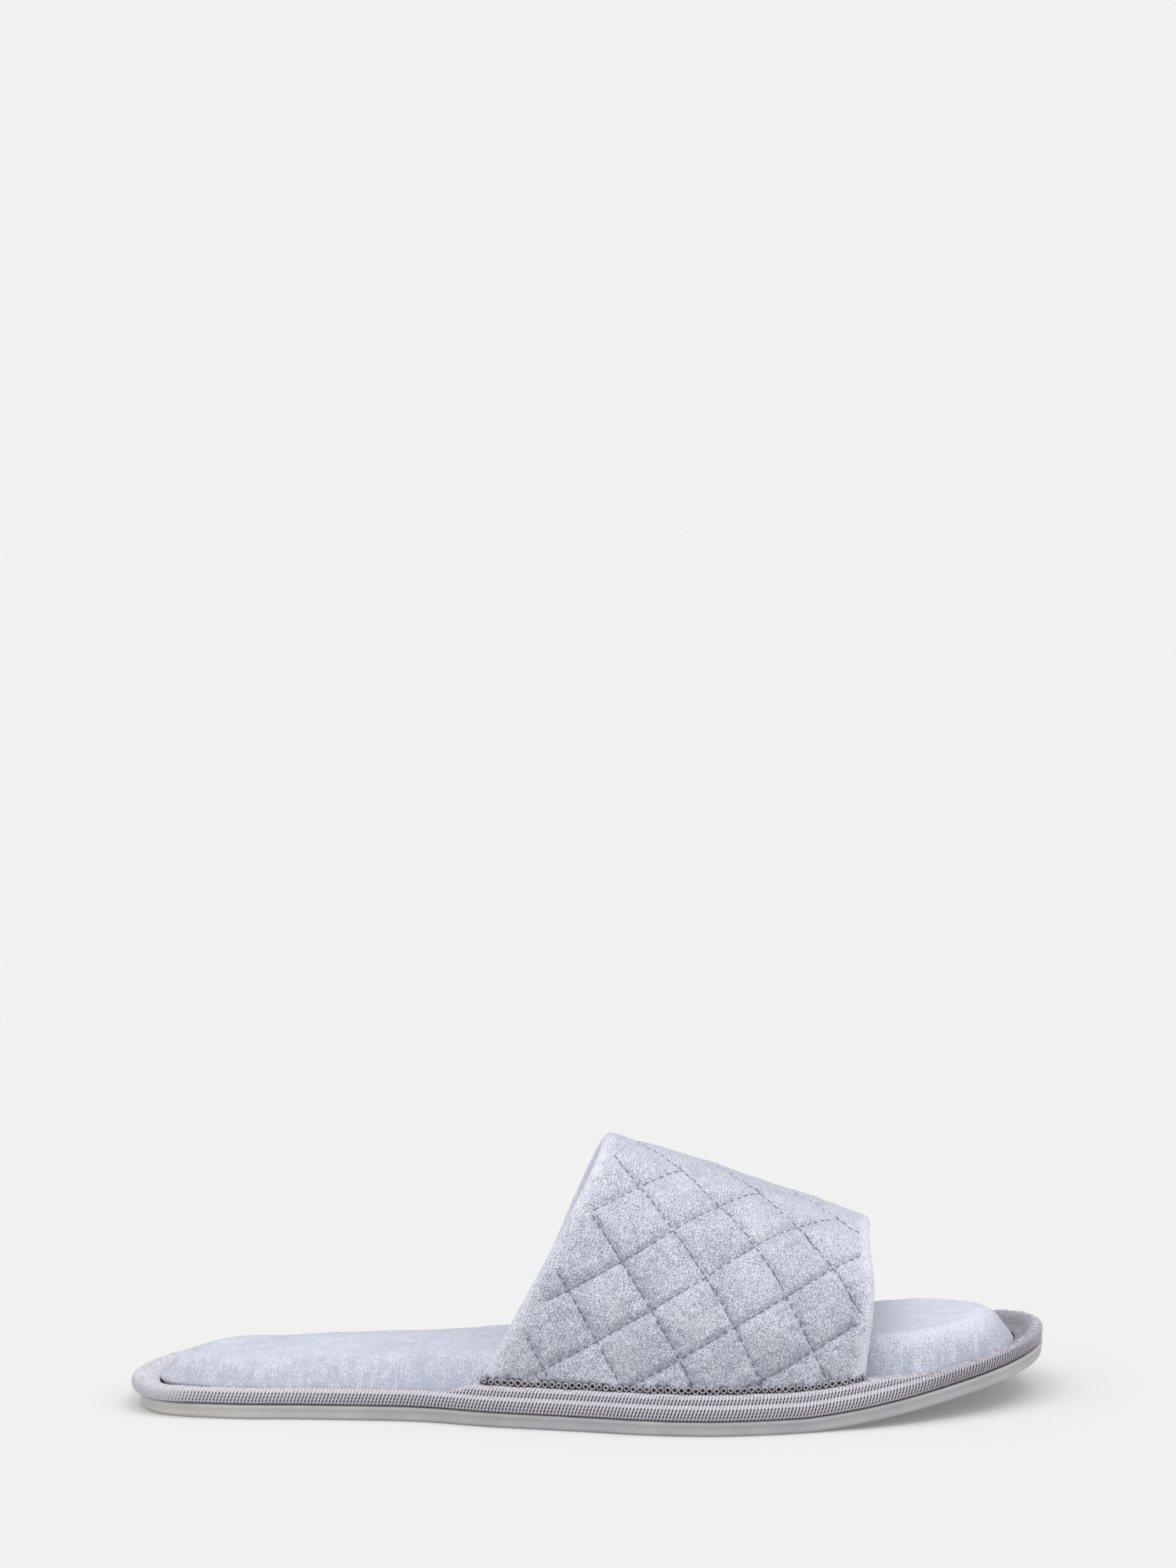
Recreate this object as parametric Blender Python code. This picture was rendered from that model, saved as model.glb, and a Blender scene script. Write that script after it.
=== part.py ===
"""Scuff slipper, right foot: outsole, padded insole, edge binding and a quilted band.

Metres, +X from heel to toe, +Y to the big-toe side, +Z up. The origin is on the floor,
under the middle of the slipper's bounding box.
"""

import math

import bmesh
import bpy
import numpy as np

MM = 0.001

# Overall sizes, measured to the outer edge of the binding tape
LENGTH = 260 * MM
BALL_WIDTH = 98 * MM
HEEL_WIDTH = 67 * MM
HEEL_ROUND = 38 * MM
TOE_ROUND = 55 * MM
HEEL_BLUNTNESS = 2.0
TOE_BLUNTNESS = 2.15

# How the sole lifts off the floor
TOE_SPRING = 11.2 * MM
TOE_SPRING_RUN = 68 * MM
TOE_SPRING_POWER = 1.35
HEEL_SPRING = 0.5 * MM
HEEL_SPRING_RUN = 12 * MM

# Space between pieces that meet
CLEARANCE = 0.3 * MM

# Outsole
OUTSOLE_THICKNESS = 4.3 * MM
OUTSOLE_SETBACK_HEEL = 2.4 * MM
OUTSOLE_SETBACK_SIDE = 1.1 * MM
OUTSOLE_SETBACK_TOE = 0.4 * MM
OUTSOLE_EDGE_ROUND = 1.2 * MM
OUTSOLE_ROUND_MIDDLE = 0.3
OUTSOLE_LIP_HEIGHT = 1.0 * MM
OUTSOLE_LIP_STEP = 0.35 * MM

# Edge binding: a folded tape with a slot for the insole's board
TAPE_WIDTH = 8.0 * MM
TAPE_HEIGHT = 4.4 * MM
TAPE_BEAD_HEIGHT = 2.5 * MM
TAPE_WEB = 2.4 * MM
TAPE_LOWER_LIP = 1.3 * MM
BEAD_LEAD = 2 * MM
BEAD_FADE_BACK = 10 * MM
BEAD_FADE_FRONT = 24 * MM
BOARD_THICKNESS = 1.2 * MM

# Padded insole
PAD_SHOULDER_HEIGHT = 4.1 * MM
PAD_CROWN = 8.2 * MM
PAD_RAMP = 16 * MM
PAD_DOME = 0.3 * MM

# Quilted band
BAND_THICKNESS = 6.0 * MM
BAND_SEAM_SETBACK = 4.5 * MM
BAND_SQUARENESS = 2.3
BAND_SEAM_BACK = 100.5 * MM
BAND_SEAM_BACK_BIG_TOE = 108 * MM
BAND_SEAM_FRONT = 209 * MM
BAND_SEAM_FRONT_BIG_TOE = 206 * MM
BAND_TOP_BACK = 133.5 * MM
BAND_TOP_FRONT = 210 * MM
INSTEP_HEIGHT = 76.5 * MM
VAMP_HEIGHT = 50.5 * MM
RIDGE_FULLNESS = 1.2 * MM
FRONT_EDGE_BULGE = 2.5 * MM
BULGE_HEIGHT_POWER = 1.5
FRONT_LEAN_POWER = 1.7
CREST_OFFSET_BACK = 2 * MM
CREST_OFFSET_FRONT = 4 * MM
HEM_ROLL = 3.2 * MM
HEM_BACK = 4.0 * MM
HEM_FRONT = 2.5 * MM
SEAM_MARGIN = 2.5 * MM
QUILT_CELL = 16.7 * MM
QUILT_DEPTH = 1.6 * MM
QUILT_PUFF_WIDTH = 7.0 * MM
QUILT_PUFF_SHAPE = 0.7
QUILT_FADE = 5.0 * MM
QUILT_SHIFT_DOWN_TOE = 10.6 * MM
QUILT_SHIFT_DOWN_HEEL = 7.7 * MM

# Fineness of the meshes
STATIONS = 36
BAND_ROWS = 30
HEM_ROWS = 4
BAND_COLUMNS = 44

# Plan outline of the tape's outer edge. Columns: share of LENGTH from the heel, centre line
# as a share of BALL_WIDTH (plus is the big-toe side), fullness from 0 (HEEL_WIDTH) to 1 (BALL_WIDTH)
OUTLINE = (
    (0.00, -0.110, -0.05),
    (0.08, -0.035, -0.03),
    (0.15, -0.003, 0.00),
    (0.24, 0.002, 0.03),
    (0.32, 0.000, 0.09),
    (0.40, -0.013, 0.34),
    (0.49, -0.010, 0.61),
    (0.57, -0.006, 0.88),
    (0.64, 0.004, 0.99),
    (0.71, 0.026, 0.93),
    (0.79, 0.062, 0.76),
    (0.86, 0.094, 0.60),
    (0.92, 0.116, 0.50),
    (1.00, 0.125, 0.44),
)

# Height of the padded insole. Columns: share of LENGTH, share of PAD_CROWN
CROWN = (
    (0.00, 0.58),
    (0.12, 0.64),
    (0.28, 0.82),
    (0.42, 0.99),
    (0.60, 1.02),
    (0.80, 1.30),
    (0.92, 1.16),
    (1.00, 0.90),
)

# Flank of the padded insole. Columns: share of PAD_RAMP inwards, share of the crown's height
FLANK = (
    (0.00, 0.00),
    (0.06, 0.11),
    (0.14, 0.22),
    (0.24, 0.40),
    (0.38, 0.62),
    (0.56, 0.82),
    (0.78, 0.95),
    (1.00, 1.00),
)

# Section of the tape's outside, from its foot up and over to its inner edge. Columns: share of
# TAPE_WIDTH inwards, share of TAPE_HEIGHT up, share of TAPE_BEAD_HEIGHT added beside the band
TAPE_SECTION = (
    (0.100, 0.00, 0.00),
    (0.020, 0.15, 0.00),
    (0.000, 0.42, 0.00),
    (0.015, 0.68, 0.00),
    (0.080, 0.87, 0.00),
    (0.155, 0.94, 0.16),
    (0.165, 0.97, 0.55),
    (0.260, 0.99, 0.90),
    (0.500, 1.00, 1.00),
    (0.800, 0.98, 1.00),
    (1.000, 0.93, 1.00),
)


def ease(share):
    """Smooth step from 0 to 1."""
    share = min(1.0, max(0.0, share))
    return share * share * (3 - 2 * share)


def read_table(rows, at, column=1):
    """Smooth curve through one column of a table, by cubic Hermite spans."""
    keys = [row[0] for row in rows]
    at = min(keys[-1], max(keys[0], at))
    span = max(i for i in range(len(rows) - 1) if keys[i] <= at)

    def slope(i):
        before, after = max(i - 1, 0), min(i + 1, len(rows) - 1)
        return (rows[after][column] - rows[before][column]) / (keys[after] - keys[before])

    width = keys[span + 1] - keys[span]
    share = (at - keys[span]) / width
    start, end = rows[span][column], rows[span + 1][column]
    square, cube = share**2, share**3
    return (
        (2 * cube - 3 * square + 1) * start
        + (cube - 2 * square + share) * width * slope(span)
        + (3 * square - 2 * cube) * end
        + (cube - square) * width * slope(span + 1)
    )


def end_rounding(distance, run, bluntness):
    """Share of the full width left at a distance from a rounded end (a superellipse)."""
    if distance >= run:
        return 1.0
    return (1 - (1 - distance / run) ** bluntness) ** (1 / bluntness)


def rise(x):
    """Height of the sole's underside over the floor, x metres from the heel."""
    toe = max(0.0, x - (LENGTH - TOE_SPRING_RUN)) / TOE_SPRING_RUN
    heel = max(0.0, HEEL_SPRING_RUN - x) / HEEL_SPRING_RUN
    return TOE_SPRING * toe**TOE_SPRING_POWER + HEEL_SPRING * heel**2


def sides(x, inset=0.0, heel_inset=None, toe_inset=None):
    """(little-toe side, big-toe side) y of the outline drawn in by an inset."""
    heel_inset = inset if heel_inset is None else heel_inset
    toe_inset = inset if toe_inset is None else toe_inset
    along = x / LENGTH
    centre = read_table(OUTLINE, along, 1) * BALL_WIDTH
    fullness = read_table(OUTLINE, along, 2)
    half = (HEEL_WIDTH + fullness * (BALL_WIDTH - HEEL_WIDTH)) / 2 - inset
    half *= end_rounding(max(0.0, x - heel_inset), HEEL_ROUND - heel_inset, HEEL_BLUNTNESS)
    half *= end_rounding(max(0.0, LENGTH - toe_inset - x), TOE_ROUND - toe_inset, TOE_BLUNTNESS)
    return centre - half, centre + half


def ring(height, inset=0.0, heel_inset=None, toe_inset=None):
    """Closed loop round the sole: heel tip, little-toe side, toe tip, big-toe side.

    height is metres over the sole's underside, or a function of x.
    """
    heel_inset = inset if heel_inset is None else heel_inset
    toe_inset = inset if toe_inset is None else toe_inset
    little, big = [], []
    for i in range(STATIONS + 1):
        share = (1 - math.cos(math.pi * i / STATIONS)) / 2
        x = heel_inset + (LENGTH - heel_inset - toe_inset) * share
        up = height(x) if callable(height) else height
        low, high = sides(x, inset, heel_inset, toe_inset)
        little.append((x, low, rise(x) + up))
        big.append((x, high, rise(x) + up))
    return little + big[-2:0:-1]


def frame_shift():
    """Moves the heel-based outline so that the origin is under the middle of the box."""
    points = ring(0.0)
    lateral = [y for _, y, _ in points]
    return -LENGTH / 2, -(min(lateral) + max(lateral)) / 2


SHIFT_X, SHIFT_Y = frame_shift()


def make_object(name, mesh, colour, roughness):
    """Adds a named object with its own material, shaded smooth."""
    material = bpy.data.materials.new(name)
    material.use_nodes = True
    shader = material.node_tree.nodes["Principled BSDF"]
    shader.inputs["Base Color"].default_value = (*colour, 1.0)
    shader.inputs["Roughness"].default_value = roughness
    shader.inputs["Metallic"].default_value = 0.0
    mesh.materials.append(material)
    mesh.shade_smooth()
    mesh.set_sharp_from_angle(angle=math.radians(50))
    obj = bpy.data.objects.new(name, mesh)
    bpy.context.scene.collection.objects.link(obj)
    return obj


def add_loop(bm, points):
    """Vertices for one loop or row of points, in the slipper's own frame."""
    return [bm.verts.new((x + SHIFT_X, y + SHIFT_Y, z)) for x, y, z in points]


def bridge(bm, first, second, closed=True):
    """Quads between two loops with as many points each."""
    count = len(first)
    for i in range(count if closed else count - 1):
        j = (i + 1) % count
        corners = []
        for vertex in (first[i], first[j], second[j], second[i]):
            if vertex not in corners:
                corners.append(vertex)
        bm.faces.new(corners)


def cap(bm, loop, centre_lift=None):
    """Closes a loop round the sole across, with a middle row when a lift is given."""
    half = len(loop) // 2
    little = loop[: half + 1]
    big = [loop[0]] + loop[: half - 1 : -1]
    if centre_lift is None:
        bridge(bm, little, big, closed=False)
        return
    middle = [little[0]]
    for a, b in zip(little[1:-1], big[1:-1]):
        point = (a.co + b.co) / 2
        point.z += centre_lift
        middle.append(bm.verts.new(point))
    middle.append(little[-1])
    bridge(bm, little, middle, closed=False)
    bridge(bm, middle, big, closed=False)


def mesh_from(bm, name):
    """Faces turned outwards, then a mesh."""
    bmesh.ops.recalc_face_normals(bm, faces=bm.faces)
    mesh = bpy.data.meshes.new(name)
    bm.to_mesh(mesh)
    bm.free()
    return mesh


def loft(name, rings, centre_lift=None):
    """Solid through loops from its underside to its top, closed at both ends."""
    bm = bmesh.new()
    loops = [add_loop(bm, points) for points in rings]
    for below, above in zip(loops, loops[1:]):
        bridge(bm, below, above)
    cap(bm, loops[0])
    cap(bm, loops[-1], centre_lift)
    return mesh_from(bm, name)


def make_outsole():
    """Moulded sole: rounded lower edge, straight wall, thin lip at the top."""

    def level(height, drawn_in):
        return ring(
            height,
            OUTSOLE_SETBACK_SIDE + drawn_in,
            OUTSOLE_SETBACK_HEEL + drawn_in,
            OUTSOLE_SETBACK_TOE + drawn_in,
        )

    lip_foot = OUTSOLE_THICKNESS - OUTSOLE_LIP_HEIGHT
    rings = [
        level(0.0, OUTSOLE_EDGE_ROUND),
        level(OUTSOLE_ROUND_MIDDLE * OUTSOLE_EDGE_ROUND, OUTSOLE_ROUND_MIDDLE * OUTSOLE_EDGE_ROUND),
        level(OUTSOLE_EDGE_ROUND, 0.0),
        level(lip_foot - OUTSOLE_LIP_STEP, 0.0),
        level(lip_foot, -OUTSOLE_LIP_STEP),
        level(OUTSOLE_THICKNESS, -OUTSOLE_LIP_STEP),
    ]
    make_object("outsole", loft("outsole", rings), (0.40, 0.40, 0.41), 0.62)


TAPE_SEAT = OUTSOLE_THICKNESS + CLEARANCE
SLOT_FLOOR = TAPE_SEAT + TAPE_LOWER_LIP
SLOT_HEIGHT = BOARD_THICKNESS + 2 * CLEARANCE


def bead(x):
    """Share of the taller bead, x metres from the heel: whole beside the band, faded past it."""
    coming = ease((x - BAND_SEAM_BACK + BEAD_LEAD) / BEAD_FADE_BACK + 1)
    going = ease((x - BAND_SEAM_FRONT - BEAD_LEAD) / BEAD_FADE_FRONT)
    return coming * (1 - going)


def make_edge_binding():
    """C-shaped ring: the tape's outside, over the top, then down round the board's slot."""
    rings = []
    for inwards, up, beaded in TAPE_SECTION:
        def height(x, up=up, beaded=beaded):
            return TAPE_SEAT + up * TAPE_HEIGHT + beaded * bead(x) * TAPE_BEAD_HEIGHT
        rings.append(ring(height, inwards * TAPE_WIDTH))
    rings += [
        ring(SLOT_FLOOR + SLOT_HEIGHT, TAPE_WIDTH),
        ring(SLOT_FLOOR + SLOT_HEIGHT, TAPE_WEB),
        ring(SLOT_FLOOR, TAPE_WEB),
        ring(SLOT_FLOOR, TAPE_WIDTH),
        ring(TAPE_SEAT, TAPE_WIDTH),
    ]
    bm = bmesh.new()
    loops = [add_loop(bm, points) for points in rings]
    for below, above in zip(loops, loops[1:] + loops[:1]):
        bridge(bm, below, above)
    make_object("edge_binding", mesh_from(bm, "edge_binding"), (0.55, 0.53, 0.57), 0.85)


def make_insole():
    """Padded footbed: board edge in the tape's slot, then the pillow's flank and crown."""
    body = TAPE_WIDTH + CLEARANCE
    board_edge = TAPE_WEB + CLEARANCE
    board_floor = SLOT_FLOOR + CLEARANCE
    rings = [
        ring(TAPE_SEAT, body),
        ring(board_floor, body),
        ring(board_floor, board_edge),
        ring(board_floor + BOARD_THICKNESS, board_edge),
        ring(board_floor + BOARD_THICKNESS, body),
    ]
    for inwards, share in FLANK:
        def height(x, share=share):
            crown = PAD_CROWN * read_table(CROWN, x / LENGTH)
            return TAPE_SEAT + PAD_SHOULDER_HEIGHT + share * crown
        rings.append(ring(height, body + inwards * PAD_RAMP))
    mesh = loft("insole", rings, centre_lift=PAD_DOME)
    make_object("insole", mesh, (0.63, 0.65, 0.76), 0.95)


def mix(a, b, share):
    return a + (b - a) * share


BAND_SEAT = TAPE_SEAT + TAPE_HEIGHT + TAPE_BEAD_HEIGHT + CLEARANCE


def band_point(back_to_front, girth):
    """Point on the middle of the band's wall.

    back_to_front runs from 0 at the instep edge to 1 at the toe edge. girth runs from 0 at
    the seam on the little-toe side, over the crest at 0.5, to 1 at the big-toe side.
    """
    foot_back = mix(BAND_SEAM_BACK, BAND_SEAM_BACK_BIG_TOE, ease(girth))
    foot_front = mix(BAND_SEAM_FRONT, BAND_SEAM_FRONT_BIG_TOE, ease(girth))
    foot_x = mix(foot_back, foot_front, back_to_front)
    top_x = mix(BAND_TOP_BACK, BAND_TOP_FRONT, back_to_front)
    low, high = sides(foot_x, BAND_SEAM_SETBACK + BAND_THICKNESS / 2)
    crest_y = mix(CREST_OFFSET_BACK, CREST_OFFSET_FRONT, back_to_front)
    crest_z = mix(INSTEP_HEIGHT, VAMP_HEIGHT, back_to_front) - BAND_THICKNESS / 2
    crest_z += RIDGE_FULLNESS * 4 * back_to_front * (1 - back_to_front)
    foot_z = rise(foot_x) + BAND_SEAT
    angle = math.pi * girth
    climb = math.sin(angle) ** (2 / BAND_SQUARENESS)
    foot_y = low if girth < 0.5 else high
    lean = 1 - (1 - climb) ** mix(1.0, FRONT_LEAN_POWER, back_to_front)
    bulge = FRONT_EDGE_BULGE * back_to_front**2 * math.sin(math.pi * climb**BULGE_HEIGHT_POWER)
    return np.array(
        (
            mix(foot_x, top_x, lean) + bulge,
            crest_y + abs(math.cos(angle)) ** (2 / BAND_SQUARENESS) * (foot_y - crest_y),
            mix(foot_z, crest_z, climb),
        )
    )


def band_normal(back_to_front, girth):
    """Unit normal of the wall, pointing away from the foot."""
    step = 1e-4
    rows = (max(0.0, back_to_front - step), min(1.0, back_to_front + step))
    columns = (max(0.0, girth - step), min(1.0, girth + step))
    along = band_point(rows[1], girth) - band_point(rows[0], girth)
    round_foot = band_point(back_to_front, columns[1]) - band_point(back_to_front, columns[0])
    normal = np.cross(along, round_foot)
    return normal / np.linalg.norm(normal)


def quilt_depth(along, down, from_back, from_front, from_seam):
    """Depth of the quilting below the puffs, at a place on the flat cut of the band.

    along runs to the toe and down runs from the crest to the little-toe side, so the two
    sets of stitch lines are where their sum and their difference pass whole cells.
    """
    nearest = QUILT_CELL
    for total, shift in (
        (along - down, QUILT_SHIFT_DOWN_TOE),
        (along + down, QUILT_SHIFT_DOWN_HEEL),
    ):
        place = (total / math.sqrt(2) - shift) / QUILT_CELL
        nearest = min(nearest, abs(place - round(place)) * QUILT_CELL)
    inside = min(
        ease((from_back - HEM_BACK) / QUILT_FADE),
        ease((from_front - HEM_FRONT) / QUILT_FADE),
        ease(from_seam / SEAM_MARGIN),
    )
    return QUILT_DEPTH * inside * (1 - ease(nearest / QUILT_PUFF_WIDTH) ** QUILT_PUFF_SHAPE)


def band_rows():
    """Shares from the instep edge to the toe edge, closer together on the rolled hems."""
    roll = HEM_ROLL / (BAND_SEAM_FRONT - BAND_SEAM_BACK)
    start = [roll * (1 - math.cos(math.pi / 2 * i / HEM_ROWS)) for i in range(HEM_ROWS)]
    middle = [mix(roll, 1 - roll, i / BAND_ROWS) for i in range(BAND_ROWS + 1)]
    return start + middle + [1 - share for share in reversed(start)]


def make_upper():
    """Quilted band: one wall with rolled hems, open at the instep, the toe and below.

    The lining side has half as many rows as the quilted side between its hems.
    """
    rows = band_rows()
    columns = [i / BAND_COLUMNS for i in range(BAND_COLUMNS + 1)]
    middle = np.array([[band_point(t, u) for u in columns] for t in rows])
    steps = np.linalg.norm(np.diff(middle, axis=1), axis=2)
    girth = np.concatenate([np.zeros((len(rows), 1)), np.cumsum(steps, axis=1)], axis=1)
    crest = BAND_COLUMNS // 2
    down = girth[:, crest : crest + 1] - girth
    top_run = np.linalg.norm(middle[-1, crest] - middle[0, crest])
    foot_run = BAND_SEAM_FRONT - BAND_SEAM_BACK

    outer, inner = [], []
    for i, t in enumerate(rows):
        outer_row, inner_row = [], []
        for j, u in enumerate(columns):
            share_down = abs(down[i, j]) / abs(down[i, 0 if j < crest else -1])
            run = mix(top_run, foot_run, share_down)
            along = top_run * t + (run - top_run) * (t - 0.5)
            edge = min(t, 1 - t) * foot_run
            half = BAND_THICKNESS / 2 * end_rounding(edge, HEM_ROLL, 2.0)
            from_seam = min(girth[i, j], girth[i, -1] - girth[i, j])
            quilted = quilt_depth(along, down[i, j], t * run, (1 - t) * run, from_seam)
            normal = band_normal(t, u)
            faces = middle[i, j] + normal * (half - quilted), middle[i, j] - normal * half
            if u in (0.0, 1.0):
                for point in faces:
                    point[2] = rise(point[0]) + BAND_SEAT
            outer_row.append(faces[0])
            inner_row.append(faces[1])
        outer.append(outer_row)
        inner.append(inner_row)

    bm = bmesh.new()
    outer_loops = [add_loop(bm, row) for row in outer]
    inner_loops = {0: outer_loops[0], len(rows) - 1: outer_loops[-1]}
    for i in range(1, len(rows) - 1):
        in_hem = min(i, len(rows) - 1 - i) <= HEM_ROWS
        if in_hem or (i - HEM_ROWS) % 2 == 0:
            inner_loops[i] = add_loop(bm, inner[i])
    lined = sorted(inner_loops)
    for before, after in zip(outer_loops, outer_loops[1:]):
        bridge(bm, before, after, closed=False)
    for i, j in zip(lined, lined[1:]):
        bridge(bm, inner_loops[i], inner_loops[j], closed=False)
        for end in (0, -1):
            corners = [outer_loops[k][end] for k in range(i, j + 1)]
            for vertex in (inner_loops[j][end], inner_loops[i][end]):
                if vertex not in corners:
                    corners.append(vertex)
            bm.faces.new(corners)
    make_object("upper", mesh_from(bm, "upper"), (0.55, 0.57, 0.66), 0.95)


def main():
    for obj in list(bpy.data.objects):
        bpy.data.objects.remove(obj, do_unlink=True)
    make_outsole()
    make_edge_binding()
    make_insole()
    make_upper()


main()
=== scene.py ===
"""Scuff slipper, right foot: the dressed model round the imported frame.

Every soft piece is worked out here as a fine surface, from the same driving sizes as the frame.
Metres, +X from heel to toe, +Y to the big-toe side, +Z up, floor at Z = 0.
"""

import math
from functools import partial

import bpy
import numpy as np
from mathutils import Matrix, Vector


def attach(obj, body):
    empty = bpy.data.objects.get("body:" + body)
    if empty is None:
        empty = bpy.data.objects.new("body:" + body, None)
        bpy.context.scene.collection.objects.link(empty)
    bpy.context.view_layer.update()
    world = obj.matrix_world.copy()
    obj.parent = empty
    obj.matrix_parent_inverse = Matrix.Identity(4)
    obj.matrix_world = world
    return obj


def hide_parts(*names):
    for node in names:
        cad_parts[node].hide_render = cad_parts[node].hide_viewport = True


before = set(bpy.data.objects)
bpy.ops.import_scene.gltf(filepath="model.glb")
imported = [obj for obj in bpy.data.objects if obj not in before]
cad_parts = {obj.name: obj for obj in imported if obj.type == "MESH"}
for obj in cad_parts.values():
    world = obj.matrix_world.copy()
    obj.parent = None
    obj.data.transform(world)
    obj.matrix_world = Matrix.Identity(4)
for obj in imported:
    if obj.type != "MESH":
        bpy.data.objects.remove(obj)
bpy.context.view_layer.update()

MM = 0.001

# Sizes shared with the frame
LENGTH = 260 * MM
BALL_WIDTH = 98 * MM
HEEL_WIDTH = 67 * MM
HEEL_ROUND = 38 * MM
TOE_ROUND = 55 * MM
HEEL_BLUNTNESS = 2.0
TOE_BLUNTNESS = 2.15
TOE_SPRING = 11.2 * MM
TOE_SPRING_RUN = 68 * MM
TOE_SPRING_POWER = 1.35
HEEL_SPRING = 0.5 * MM
HEEL_SPRING_RUN = 12 * MM
CLEARANCE = 0.3 * MM
OUTSOLE_THICKNESS = 4.3 * MM
OUTSOLE_SETBACK_HEEL = 2.4 * MM
OUTSOLE_SETBACK_SIDE = 1.1 * MM
OUTSOLE_SETBACK_TOE = 0.4 * MM
OUTSOLE_EDGE_ROUND = 1.2 * MM
OUTSOLE_LIP_HEIGHT = 1.0 * MM
OUTSOLE_LIP_STEP = 0.35 * MM
TAPE_WIDTH = 8.0 * MM
TAPE_HEIGHT = 4.4 * MM
TAPE_BEAD_HEIGHT = 2.5 * MM
BEAD_LEAD = 2 * MM
BEAD_FADE_BACK = 10 * MM
BEAD_FADE_FRONT = 24 * MM
PAD_SHOULDER_HEIGHT = 4.1 * MM
PAD_CROWN = 8.2 * MM
PAD_RAMP = 16 * MM
BAND_THICKNESS = 6.0 * MM
BAND_SEAM_SETBACK = 4.5 * MM
BAND_SQUARENESS = 2.3
BAND_SEAM_BACK = 100.5 * MM
BAND_SEAM_BACK_BIG_TOE = 108 * MM
BAND_SEAM_FRONT = 209 * MM
BAND_SEAM_FRONT_BIG_TOE = 206 * MM
BAND_TOP_BACK = 133.5 * MM
BAND_TOP_FRONT = 209.5 * MM
INSTEP_HEIGHT = 76.5 * MM
VAMP_HEIGHT = 50.5 * MM
RIDGE_FULLNESS = 1.2 * MM
FRONT_EDGE_BULGE = 1.9 * MM
BULGE_HEIGHT_POWER = 1.5
FAR_EDGE_SETBACK = 1.6
FRONT_LEAN_POWER = 1.7
CREST_OFFSET_BACK = 2 * MM
CREST_OFFSET_FRONT = 4 * MM
HEM_ROLL = 3.2 * MM
HEM_BACK = 3.5 * MM
HEM_FRONT = 2.5 * MM
SEAM_MARGIN = 2.5 * MM
QUILT_CELL = 16.7 * MM
QUILT_SHIFT_DOWN_TOE = 10.6 * MM
QUILT_SHIFT_DOWN_HEEL = 7.7 * MM

BAND_SEAM_RUN = BAND_SEAM_FRONT - BAND_SEAM_BACK
TAPE_SEAT = OUTSOLE_THICKNESS + CLEARANCE
BAND_SEAT = TAPE_SEAT + TAPE_HEIGHT + TAPE_BEAD_HEIGHT + CLEARANCE

# Finish sizes that only the dressed model has
QUILT_DEPTH = 1.0 * MM
TROUGH_DEPTH = 0.7 * MM
TROUGH_WIDTH = 1.0 * MM
QUILT_FADE = 5.0 * MM
PILLOW_POWER = 0.5
CREST_STRETCH = 0.5
CREST_STRETCH_WIDTH = 22 * MM
LINE_FADE = 18 * MM
LINE_UNSEWN = 0.55
LINE_SHORTEST = 12
PUCKER = 0.22 * MM
PUCKER_SIZE = 3.6 * MM
PUCKER_REACH = 3.0 * MM
SLACK = 0.28 * MM
SLACK_SIZE = 21 * MM
SLACK_FADE = 8 * MM
# Painted shade on the band: darker beside the stitch lines and towards the seams, away from the crest
LINE_SHADE = 0.06
LINE_SHADE_REACH = 1.8 * MM
LOW_SHADE = 0.09
LOW_SHADE_RUN = 45 * MM
LINING_RELIEF = 0.35
STITCH_PITCH = 2.8 * MM
STITCH_LENGTH = 2.5 * MM
STITCH_RADIUS = 0.17 * MM
STITCH_SEAM_GAP = 1.5 * MM
# Painted shade: a near-black strip along the band's seams, for the recess behind the overlock loops;
# its height, and how uneven that is
SEAM_SHADE_HEIGHT = 1.7 * MM
SEAM_UNEVEN = 0.30
SEAM_UNEVEN_SIZE = 3 * MM
# Painted highlight: the velour made paler along the rolled hems; its width and strength at the instep
# and toe edges
FOLD_WIDTH_BACK = 6.0 * MM
FOLD_WIDTH_FRONT = 7.0 * MM
FOLD_HIGHLIGHT_BACK = 0.8
FOLD_HIGHLIGHT_FRONT = 1.2
OVERLOCK_PITCH = 1.95 * MM
OVERLOCK_RADIUS = 0.70 * MM
OVERLOCK_THREAD = 0.19 * MM
OVERLOCK_OUT = 0.45 * MM
OVERLOCK_LIFT = 0.80 * MM
OVERLOCK_LOOSE = 0.15 * MM
OVERLOCK_UNEVEN = 0.12
OVERLOCK_LEAN = 0.25
TOE_VALLEY = 3.0 * MM
TOE_VALLEY_BACK = 22 * MM
TOE_VALLEY_RUN = 14 * MM
PAD_OVERHANG = 2.2 * MM
PAD_OVERHANG_HEEL = 0.3
PAD_LIP_HEIGHT = 3.55 * MM
PAD_LIP_HEEL = 3.05 * MM
PAD_LIP_TOE = 1.2 * MM
PAD_LIP_TURNS = 7
PAD_RAMP_HEEL = 11 * MM
PAD_RAMP_TOE = 12 * MM
PAD_FRONT = 205 * MM
PAD_FRONT_RUN = 25 * MM
# Painted shade on the insole's flank, fading up to the crown and stronger towards the toe, and
# painted light on its top towards the toe
PAD_SHADE = 0.80
PAD_SHADE_FRONT = 1.1
PAD_SHADE_POWER = 1.5
PAD_LIGHT_FRONT = 0.34
RIB_PITCH = 1.0 * MM
RIB_HEIGHT = 0.09 * MM
RIB_SLANT = 0.35
TAPE_WAVE = 0.07 * MM
TAPE_WAVE_SIZE = 9 * MM
NUB_PITCH = 5.0 * MM
NUB_RADIUS = 1.7 * MM
TREAD_DEPTH = 0.6 * MM
TREAD_BORDER = 5.0 * MM
TREAD_ROUND = 1.2 * MM
NUB_ROUND = 0.8 * MM
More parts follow.
